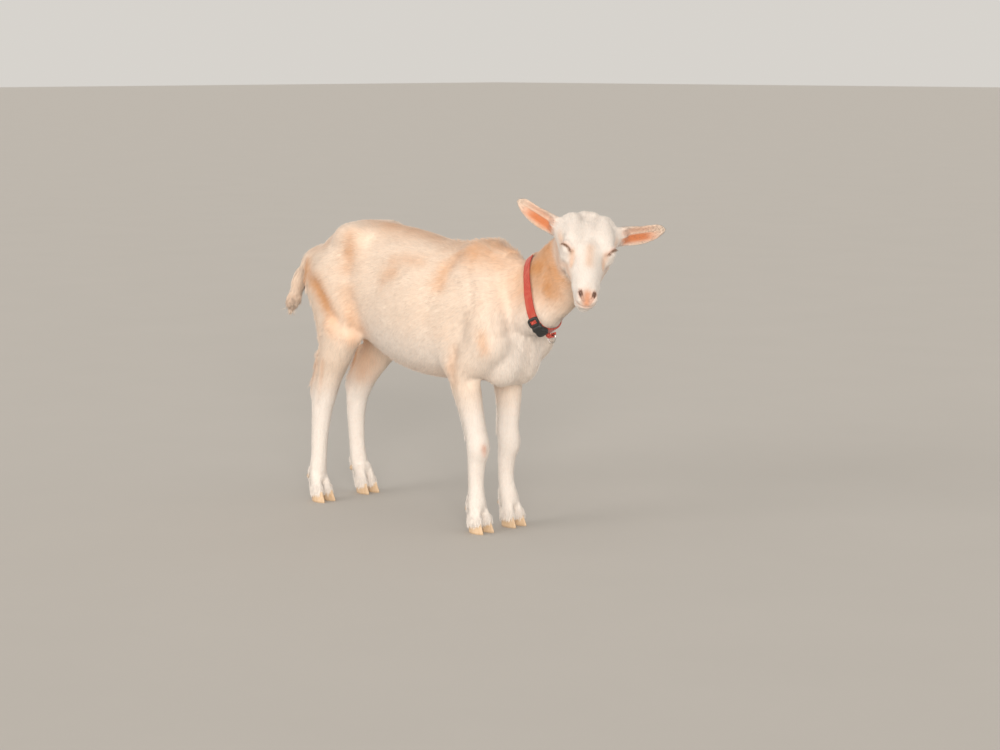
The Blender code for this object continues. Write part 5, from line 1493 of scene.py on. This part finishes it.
socket = moulding("buckle_socket", -146.5, -169.5, outline_of(96, 0.42, -0.30, 0.26, 0.30, 0.06),
                  BUCKLE_LOW, BUCKLE_LOW + 0.0082, replaces=["collar_buckle"])
tongue = moulding("buckle_tongue", -143.0, -163.0, outline_of(72, 0.5) * [1, 0.90],
                  BUCKLE_LOW + 0.0012, BUCKLE_LOW + 0.0058)
ladder = frame_of("buckle_ladder", -131.0, -147.0, 0.0042, BUCKLE_LOW + 0.0004, BUCKLE_LOW + 0.0056)
strap_end = moulding("strap_end", -133.5, -145.0, outline_of(64, 0.3) * [1, 0.70],
                     BUCKLE_LOW, BUCKLE_LOW + 0.0030)
print("buckle pieces", socket.name, tongue.name, ladder.name, strap_end.name)

# %% [markdown]
# ### Ring and its sleeve
#
# Under the throat a short sleeve of webbing holds a small steel ring shaped like a D. The ring is a round
# wire carried along a bar and a half circle; the sleeve is a thin band bent over the bar, sewn on both sides.

# %% Sleeve and ring
RING_ANGLE = np.radians(-181.0)
ring_seat = 0.0    # the most the coat stands out near the ring
for turn in (-0.1, 0.1):
    for aside in (-0.007, 0.007):
        on_coat = wrapped(np.array(RING_ANGLE + turn), np.array(aside), np.array(0.0))
        ring_seat = max(ring_seat, np.linalg.norm(on_coat - COLLAR_MIDDLE - COLLAR_OUT * aside))
ring_base = ring_seat + COLLAR_THICKNESS - COLLAR_SINK + 0.0006
ring_out = COLLAR_UP * np.cos(RING_ANGLE) + LEFT * np.sin(RING_ANGLE)
ring_along = np.cross(ring_out, COLLAR_OUT)


def by_ring(out, along, across):
    """Points given out from the webbing, along the strap and across it, at the ring's place."""
    out, along, across = [np.asarray(v, float)[..., None] for v in (out, along, across)]
    return COLLAR_MIDDLE + ring_out * (ring_base + out) + ring_along * along + COLLAR_OUT * across


WIRE_ROWS, WIRE_COLUMNS, WIRE_RADIUS = 96, 16, 0.0013
t = np.arange(WIRE_ROWS) / WIRE_ROWS * 2 * np.pi
wire = by_ring(0.0068 + np.where(np.sin(t) > 0, 0.0115, 0.0022) * np.sin(t), 0 * t, 0.0100 * np.cos(t))
ahead = unit(np.roll(wire, -1, 0) - np.roll(wire, 1, 0))
thick = np.cross(ahead, ring_along)
b = (np.arange(WIRE_COLUMNS) / WIRE_COLUMNS * 2 * np.pi)[None, :, None]
points = wire[:, None] + WIRE_RADIUS * (np.cos(b) * thick[:, None] + np.sin(b) * ring_along)
faces = grid_faces(WIRE_ROWS, WIRE_COLUMNS, wrap_rows=True)[:, ::-1]
ring = made("d_ring", points.reshape(-1, 3), faces, "ring", replaces=["collar_ring"])

a = np.linspace(0, np.pi, 28)
outer = np.stack([0.0096 * np.sin(a), 0.0085 * np.cos(a)], 1)
inside = np.stack([0.0078 * np.sin(a) * 0.98, 0.0068 * np.cos(a)], 1)[::-1]
loop = np.vstack([outer, inside])
widths = np.array([-0.0062, -0.0059, -0.0045, 0.0, 0.0045, 0.0059, 0.0062])
pull = np.array([0.35, 0.08, 0, 0, 0, 0.08, 0.35])[:, None]
middle_loop = np.vstack([(outer + inside[::-1]) / 2, ((outer + inside[::-1]) / 2)[::-1]])
shape = loop[None] + (middle_loop - loop)[None] * pull[:, :, None]
points = by_ring(shape[:, :, 0], shape[:, :, 1], np.repeat(widths[:, None], len(loop), 1)).reshape(-1, 3)
n = len(loop)
i = np.arange(len(outer) - 1)
cap = np.stack([i, n - 1 - i, n - 2 - i, i + 1], 1)
faces = [grid_faces(len(widths), n), cap, (cap + (len(widths) - 1) * n)[:, ::-1]]
sleeve = made("ring_sleeve", points, faces, "webbing", replaces=["collar_loop"])
print(ring.name, sleeve.name)

# %% [markdown]
# ## Finishes
#
# Materials are built from shader nodes. Effects that several finishes share are node groups, made once:
# the coat's tone from its markings, painted shade included, a fine mottle for horn, plastic and steel, and
# the weave of the strap.
# The Principled shader stays in each material, and numbers that never vary are set on its own sockets.

# %% Helpers for node trees
def group(name, inputs, outputs):
    """A new node group with the given sockets; returns its tree, its input node and its output node."""
    tree = bpy.data.node_groups.new(name, "ShaderNodeTree")
    for label, kind, value in inputs:
        socket = tree.interface.new_socket(name=label, in_out="INPUT", socket_type="NodeSocket" + kind)
        if value is not None:
            socket.default_value = value
    for label, kind in outputs:
        tree.interface.new_socket(name=label, in_out="OUTPUT", socket_type="NodeSocket" + kind)
    return tree, tree.nodes.new("NodeGroupInput"), tree.nodes.new("NodeGroupOutput")


def node(tree, kind, settings=None, **sockets):
    """A node with its settings. Each socket, by name or as _number, gets a value, or a link to a socket."""
    made_node = tree.nodes.new("ShaderNode" + kind)
    for key, value in (settings or {}).items():
        setattr(made_node, key, value)
    for key, value in sockets.items():
        socket = made_node.inputs[int(key[1:]) if key[0] == "_" else key.replace("_", " ")]
        if isinstance(value, bpy.types.NodeSocket):
            tree.links.new(value, socket)
        else:
            socket.default_value = value
    return made_node


def maths(tree, how, a, b=0.0, clamp=False):
    """One operation on one or two numbers; clamp keeps its result from 0 to 1."""
    return node(tree, "Math", {"operation": how, "use_clamp": clamp}, _0=a, _1=b).outputs[0]


def mixed(tree, share, a, b, how="MIX"):
    """a * (1 - share) + b * share of two colours; MULTIPLY has a * b in the place of b."""
    mix = node(tree, "Mix", {"data_type": "RGBA", "blend_type": how}, _0=share)
    for slot, value in ((6, a), (7, b)):
        if isinstance(value, bpy.types.NodeSocket):
            tree.links.new(value, mix.inputs[slot])
        else:
            mix.inputs[slot].default_value = value
    return mix.outputs[2]


def ramp(tree, value, low, high, start=0.0, end=1.0):
    """start + (end - start) * (value - low) / (high - low), and no further than start or end."""
    return node(tree, "MapRange", {"clamp": True}, Value=value, From_Min=low, From_Max=high,
                To_Min=start, To_Max=end).outputs[0]


print("node helpers ready")

# %% Group: the coat's tone, with its painted shade
# the tan colour is also the coat's painted shade; the brown is painted shade in slits, nostrils and mouth,
# and the bud marks
CREAM, WHITE, TAN_AND_SHADE = (0.90, 0.735, 0.600, 1), (0.91, 0.84, 0.775, 1), (0.68, 0.32, 0.125, 1)
PINK, BROWN_AND_SHADE = (0.58, 0.185, 0.065, 1), (0.085, 0.034, 0.018, 1)

coat_tone, start, end = group(
    "coat tone",
    [("Marks", "Color", None), ("White", "Float", 0.0), ("Tone", "Float", 0.5), ("Tip", "Float", 0.5)],
    [("Color", "Color"), ("Height", "Float")])
place = coat_tone.nodes.new("ShaderNodeTexCoord").outputs["Object"]
parts = node(coat_tone, "SeparateColor", _0=start.outputs["Marks"])
broad = node(coat_tone, "TexNoise", Vector=place, Scale=11.0, Detail=4.0, Roughness=0.6).outputs["Fac"]
fine = node(coat_tone, "TexNoise", Vector=place, Scale=140.0, Detail=3.0, Roughness=0.65).outputs["Fac"]
# the red of the marks carries tan and painted shade alike; slow noise varies it
tan_and_shade = maths(coat_tone, "MULTIPLY", parts.outputs["Red"], ramp(coat_tone, broad, 0.30, 0.60, 0.65, 1.15))
stray = maths(coat_tone, "MULTIPLY", ramp(coat_tone, broad, 0.50, 0.75, 0.0, 0.16),
              maths(coat_tone, "SUBTRACT", 1.0, start.outputs["White"]))
tan_and_shade = maths(coat_tone, "ADD", tan_and_shade, stray)
tan_and_shade = maths(coat_tone, "ADD", tan_and_shade, ramp(coat_tone, start.outputs["Tone"], 0.60, 1.0, 0.0, 0.07), clamp=True)
base = mixed(coat_tone, start.outputs["White"], CREAM, WHITE)
base = mixed(coat_tone, tan_and_shade, base, TAN_AND_SHADE)
# locks darken towards the root, painted shade between them, lighten a little at the tip, and vary at random
# in tone
pale = maths(coat_tone, "MULTIPLY", ramp(coat_tone, start.outputs["Tip"], 0.0, 0.8, 0.90, 1.03),
             ramp(coat_tone, start.outputs["Tone"], 0.0, 1.0, 0.86, 1.06))
root_shade_and_tone = node(coat_tone, "CombineColor", _0=pale, _1=pale, _2=pale).outputs[0]
base = mixed(coat_tone, 1.0, base, root_shade_and_tone, "MULTIPLY")
base = mixed(coat_tone, ramp(coat_tone, fine, 0.40, 0.70, 0.0, 0.07), base, TAN_AND_SHADE)
base = mixed(coat_tone, parts.outputs["Green"], base, PINK)
base = mixed(coat_tone, parts.outputs["Blue"], base, BROWN_AND_SHADE)
coat_tone.links.new(base, end.inputs["Color"])
coat_tone.links.new(fine, end.inputs["Height"])
print(coat_tone.name, len(coat_tone.nodes), "nodes")

# %% Group: a fine mottle
mottle, start, end = group(
    "fine mottle", [("Scale", "Float", 60.0), ("Low", "Float", 0.3), ("High", "Float", 0.6)],
    [("Value", "Float"), ("Height", "Float")])
place = mottle.nodes.new("ShaderNodeTexCoord").outputs["Object"]
scale = start.outputs["Scale"]
noise = node(mottle, "TexNoise", Vector=place, Scale=scale, Detail=5.0, Roughness=0.6).outputs["Fac"]
spread = ramp(mottle, noise, 0.3, 0.7, start.outputs["Low"], start.outputs["High"])
mottle.links.new(spread, end.inputs["Value"])
mottle.links.new(noise, end.inputs["Height"])
print(mottle.name)

# %% Group: the weave of a strap
weave, start, end = group("strap weave", [("Place", "Vector", None), ("Ribs", "Float", 900.0)],
                          [("Height", "Float"), ("Dirt", "Float")])
axes = node(weave, "SeparateXYZ", Vector=start.outputs["Place"])
along = maths(weave, "MULTIPLY", axes.outputs["X"], start.outputs["Ribs"])
over = maths(weave, "MULTIPLY", axes.outputs["Y"], maths(weave, "MULTIPLY", start.outputs["Ribs"], 1.7))
row = maths(weave, "FLOOR", maths(weave, "DIVIDE", over, np.pi))
shifted = maths(weave, "ADD", along, maths(weave, "MULTIPLY", row, np.pi))
ribs = maths(weave, "ABSOLUTE", maths(weave, "SINE", maths(weave, "MULTIPLY", shifted, 0.5)))
bumps = maths(weave, "MULTIPLY", ribs, maths(weave, "ABSOLUTE", maths(weave, "SINE", over)))
weave.links.new(bumps, end.inputs["Height"])
spots = node(weave, "TexNoise", Vector=start.outputs["Place"], Scale=90.0, Detail=4.0).outputs["Fac"]
weave.links.new(ramp(weave, spots, 0.45, 0.70), end.inputs["Dirt"])
print(weave.name)


# %% Materials of coat, ears and skin
def material(name, roughness=0.5, metallic=0.0, **constants):
    """A material with its Principled shader; constants such as sheen go straight onto its sockets."""
    mat = bpy.data.materials.new(name)
    mat.use_nodes = True
    shader = mat.node_tree.nodes["Principled BSDF"]
    shader.inputs["Roughness"].default_value = roughness
    shader.inputs["Metallic"].default_value = metallic
    for key, value in constants.items():
        shader.inputs[key.replace("_", " ")].default_value = value
    return mat, mat.node_tree, shader


def placed(tree, which):
    """Puts one of the node groups into a material's tree and returns its node."""
    used = tree.nodes.new("ShaderNodeGroup")
    used.node_tree = which
    return used


def bumped(tree, shader, height, strength, distance):
    """Tilts the shading normal by the slope of a height, scaled by a distance in metres."""
    bump = node(tree, "Bump", Strength=strength, Distance=distance, Height=height)
    tree.links.new(bump.outputs["Normal"], shader.inputs["Normal"])


def stored(tree, name):
    """The node that reads what store() keeps under a name."""
    return node(tree, "Attribute", {"attribute_name": name})


def coloured(tree, shader, colour):
    """Links a colour to the shader."""
    tree.links.new(colour, shader.inputs["Base Color"])


def coat_material(name, roughness, lock=True):
    """The coat tone fed by the stored marks; locks add their own tone, and by tip a painted shade towards the
    root; the skin adds a fine bump.
    """
    mat, tree, shader = material(name, roughness, Sheen_Weight=0.25, Sheen_Roughness=0.5,
                                 Specular_IOR_Level=0.25)
    tone = placed(tree, coat_tone)
    marks = stored(tree, "marks")
    tree.links.new(marks.outputs["Color"], tone.inputs["Marks"])
    tree.links.new(marks.outputs["Alpha"], tone.inputs["White"])
    if lock:
        tree.links.new(stored(tree, "tone").outputs["Fac"], tone.inputs["Tone"])
        tree.links.new(stored(tree, "tip").outputs["Fac"], tone.inputs["Tip"])
    else:
        bumped(tree, shader, tone.outputs["Height"], 0.5, 0.0006)
    coloured(tree, shader, tone.outputs["Color"])
    return mat


coat_finish = coat_material("coat locks", 0.72)
ear_finish = coat_material("ear nap", 0.65)
skin_finish = coat_material("skin and nap", 0.75, lock=False)
skin.data.materials.append(skin_finish)
for piece in bpy.data.objects:
    if piece.name.startswith("coat_"):
        piece.data.materials.append(ear_finish if "_ear_" in piece.name else coat_finish)
print("coat, ear and skin finished")

# %% Materials of eye, lashes and horn
def mottled(name, roughness, first, second, scale, limits=None, metallic=0.0, relief=None):
    """Two colours blended by the fine mottle; limits let it be the roughness too, relief adds a bump."""
    mat, tree, shader = material(name, roughness, metallic)
    spots = placed(tree, mottle)
    spots.inputs["Scale"].default_value = scale
    if limits:
        spots.inputs["Low"].default_value, spots.inputs["High"].default_value = limits
        tree.links.new(spots.outputs["Value"], shader.inputs["Roughness"])
    if relief:
        bumped(tree, shader, spots.outputs["Height"], *relief)
    coloured(tree, shader, mixed(tree, spots.outputs["Value"], first, second))
    return mat


lash_finish = mottled("lash", 0.55, (0.12, 0.055, 0.030, 1), (0.36, 0.20, 0.11, 1), 400.0)
for side in ("left", "right"):
    bpy.data.objects["lashes_" + side].data.materials.append(lash_finish)

eye_finish, tree, shader = material("eye", 0.08, Coat_Weight=1.0, Coat_Roughness=0.03)
axes = node(tree, "SeparateColor", _0=stored(tree, "gaze").outputs["Color"])
wide = maths(tree, "ABSOLUTE", maths(tree, "SUBTRACT", axes.outputs["Red"], 0.5))
tall = maths(tree, "ABSOLUTE", maths(tree, "SUBTRACT", axes.outputs["Green"], 0.5))
squares = maths(tree, "ADD", maths(tree, "POWER", wide, 2.0), maths(tree, "POWER", tall, 2.0))
ringed = maths(tree, "SQRT", squares)
iris = mixed(tree, ramp(tree, ringed, 0.10, 0.30), (0.55, 0.30, 0.06, 1), (0.30, 0.14, 0.03, 1))
iris = mixed(tree, ramp(tree, ringed, 0.29, 0.32), iris, (0.30, 0.24, 0.20, 1))
pupil = maths(tree, "MULTIPLY", maths(tree, "LESS_THAN", wide, 0.20), maths(tree, "LESS_THAN", tall, 0.055))
coloured(tree, shader, mixed(tree, pupil, iris, (0.008, 0.006, 0.005, 1)))
for piece in eyes.values():
    piece.data.materials.append(eye_finish)


def horn(name, light, dark, roughness, streaks, layered):
    """Horn: long vertical streaks, faint rings by height, darker towards the ground and paler towards the
    top.
    """
    mat, tree, shader = material(name, roughness, Specular_IOR_Level=0.4)
    place = tree.nodes.new("ShaderNodeTexCoord").outputs["Object"]
    squeeze = node(tree, "Mapping", Vector=place, Scale=(1.0, 1.0, 0.16)).outputs[0]
    streak = node(tree, "TexNoise", Vector=squeeze, Scale=streaks, Detail=4.0, Roughness=0.6).outputs["Fac"]
    spots = placed(tree, mottle)
    spots.inputs["Scale"].default_value = 130.0
    colour = mixed(tree, ramp(tree, streak, 0.36, 0.66), light, dark)
    colour = mixed(tree, maths(tree, "MULTIPLY", spots.outputs["Value"], 0.35), colour, dark)
    height = maths(tree, "ADD", streak, maths(tree, "MULTIPLY", spots.outputs["Height"], 0.5))
    if layered:
        level = stored(tree, "height").outputs["Fac"]
        # darker towards the ground, paler towards the top
        colour = mixed(tree, ramp(tree, level, 0.16, 0.0, 0.0, 0.55), colour, (0.36, 0.26, 0.16, 1))
        colour = mixed(tree, ramp(tree, level, 0.80, 1.0, 0.0, 0.5), colour, (0.80, 0.62, 0.46, 1))
        growth = maths(tree, "SINE", maths(tree, "MULTIPLY", level, 55.0))
        height = maths(tree, "ADD", height, maths(tree, "MULTIPLY", growth, 0.25))
    coloured(tree, shader, colour)
    bumped(tree, shader, height, 0.35, 0.0008)
    return mat


claw_finish = horn("claw horn", (0.70, 0.52, 0.35, 1), (0.58, 0.40, 0.24, 1), 0.48, 420.0, True)
dew_finish = horn("dewclaw horn", (0.62, 0.46, 0.30, 1), (0.42, 0.28, 0.17, 1), 0.55, 380.0, False)
for piece in claws:
    piece.data.materials.append(claw_finish)
for piece in dewclaws:
    piece.data.materials.append(dew_finish)
print("eyes, lashes and horn finished")

# %% Materials of the collar
def cloth_material(name, dark, light, bump, on_strap):
    """Two reds by the height of the weave, the darker one painted shade in its hollows; the strap has it on
    its own map, with some dirt.
    """
    mat, tree, shader = material(name, 0.78, Sheen_Weight=0.35, Sheen_Roughness=0.4, Specular_IOR_Level=0.3)
    cloth = placed(tree, weave)
    # the darker red lies in the low of the weave: painted shade between its ribs
    colour = mixed(tree, cloth.outputs["Height"], dark, light)
    if on_strap:
        place = node(tree, "UVMap", {"uv_map": "strap"}).outputs["UV"]
        dirt = maths(tree, "MULTIPLY", cloth.outputs["Dirt"], 0.30)
        colour = mixed(tree, dirt, colour, (0.56, 0.22, 0.14, 1))
    else:
        place = tree.nodes.new("ShaderNodeTexCoord").outputs["Object"]
    tree.links.new(place, cloth.inputs["Place"])
    coloured(tree, shader, colour)
    bumped(tree, shader, cloth.outputs["Height"], bump, 0.0005)
    return mat


webbing_finish = cloth_material("coral webbing", (0.30, 0.028, 0.018, 1), (0.66, 0.105, 0.070, 1), 0.6, True)
webbing.data.materials.append(webbing_finish)
plain_webbing = cloth_material("coral webbing, small pieces", (0.32, 0.030, 0.020, 1), (0.70, 0.13, 0.09, 1),
                               0.5, False)
for piece in (sleeve, strap_end):
    piece.data.materials.append(plain_webbing)

buckle_finish = mottled("black moulding", 0.38, (0.010, 0.011, 0.011, 1), (0.035, 0.036, 0.035, 1), 260.0,
                        limits=(0.30, 0.52), relief=(0.25, 0.0003))
for piece in (socket, tongue, ladder):
    piece.data.materials.append(buckle_finish)
ring_finish = mottled("steel wire", 0.28, (0.66, 0.64, 0.60, 1), (0.50, 0.47, 0.43, 1), 500.0,
                      limits=(0.20, 0.45), metallic=1.0)
ring.data.materials.append(ring_finish)
print("collar finished")

# %% [markdown]
# ## Floor, light and camera
#
# She stands on a plain pale floor. One soft light comes low from ahead and to her right, as daylight
# through a barn door does; a weaker one fills her right side, and the sky is an even warm white. Both
# lights are far away, like a sun seen through haze, so that the floor has no bright pool in any view.

# %% Floor and lights
FLOOR_REACH = 60.0
corners = [(x * FLOOR_REACH, y * FLOOR_REACH, 0.0) for x, y in ((-1, -1), (1, -1), (1, 1), (-1, 1))]
mesh = bpy.data.meshes.new("floor")
mesh.from_pydata(corners, [], [(0, 1, 2, 3)])
floor = bpy.data.objects.new("floor", mesh)
bpy.context.scene.collection.objects.link(floor)
floor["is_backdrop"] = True
mesh.materials.append(mottled("pale floor", 0.85, (0.53, 0.505, 0.47, 1), (0.57, 0.54, 0.505, 1), 3.0))

world = bpy.data.worlds.new("even sky")
bpy.context.scene.world = world
world.use_nodes = True
world.node_tree.nodes["Background"].inputs["Color"].default_value = (1.0, 0.96, 0.90, 1)
world.node_tree.nodes["Background"].inputs["Strength"].default_value = 0.68


def far_light(name, source, width, strength, colour):
    """Light from the direction of source over an angle of width degrees, in watts per square metre."""
    lamp = bpy.data.lights.new(name, "SUN")
    lamp.angle, lamp.energy, lamp.color = np.radians(width), strength, colour
    holder = bpy.data.objects.new(name, lamp)
    holder.location = source
    holder.rotation_euler = (-Vector(source)).to_track_quat("-Z", "Y").to_euler()
    bpy.context.scene.collection.objects.link(holder)


far_light("door_light", (5.8, -5.2, 1.4), 24, 2.35, (1.0, 0.94, 0.87))
far_light("fill_light", (-2.0, -6.5, 1.5), 34, 1.15, (1.0, 0.95, 0.90))
print("floor, sky and two lights")

# %% The camera
camera = bpy.data.cameras.new("camera")
camera.lens, camera.sensor_width, camera.sensor_fit = 78.804, 36.0, "HORIZONTAL"
camera.clip_end = 200
holder = bpy.data.objects.new("camera", camera)
bpy.context.scene.collection.objects.link(holder)
pitch = np.radians(8.1887)
view = Vector((-np.sin(np.pi / 4) * np.cos(pitch), np.cos(np.pi / 4) * np.cos(pitch), -np.sin(pitch)))
holder.location = (3.0659, -2.9242, 0.89)
holder.rotation_euler = view.to_track_quat("-Z", "Y").to_euler()
bpy.context.scene.camera = holder
bpy.context.scene.view_settings.view_transform = "Standard"

# %% The two boxes, and the end
seen_low, seen_high = [list(corner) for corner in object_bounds()]
print("visual box", np.round(seen_low, 4), np.round(seen_high, 4))
triangles = {o.name: sum(len(f.vertices) - 2 for f in o.data.polygons) for o in bpy.data.objects
             if o.type == "MESH" and not o.hide_render}
print("triangles in all", sum(triangles.values()), "largest", max(triangles, key=triangles.get))
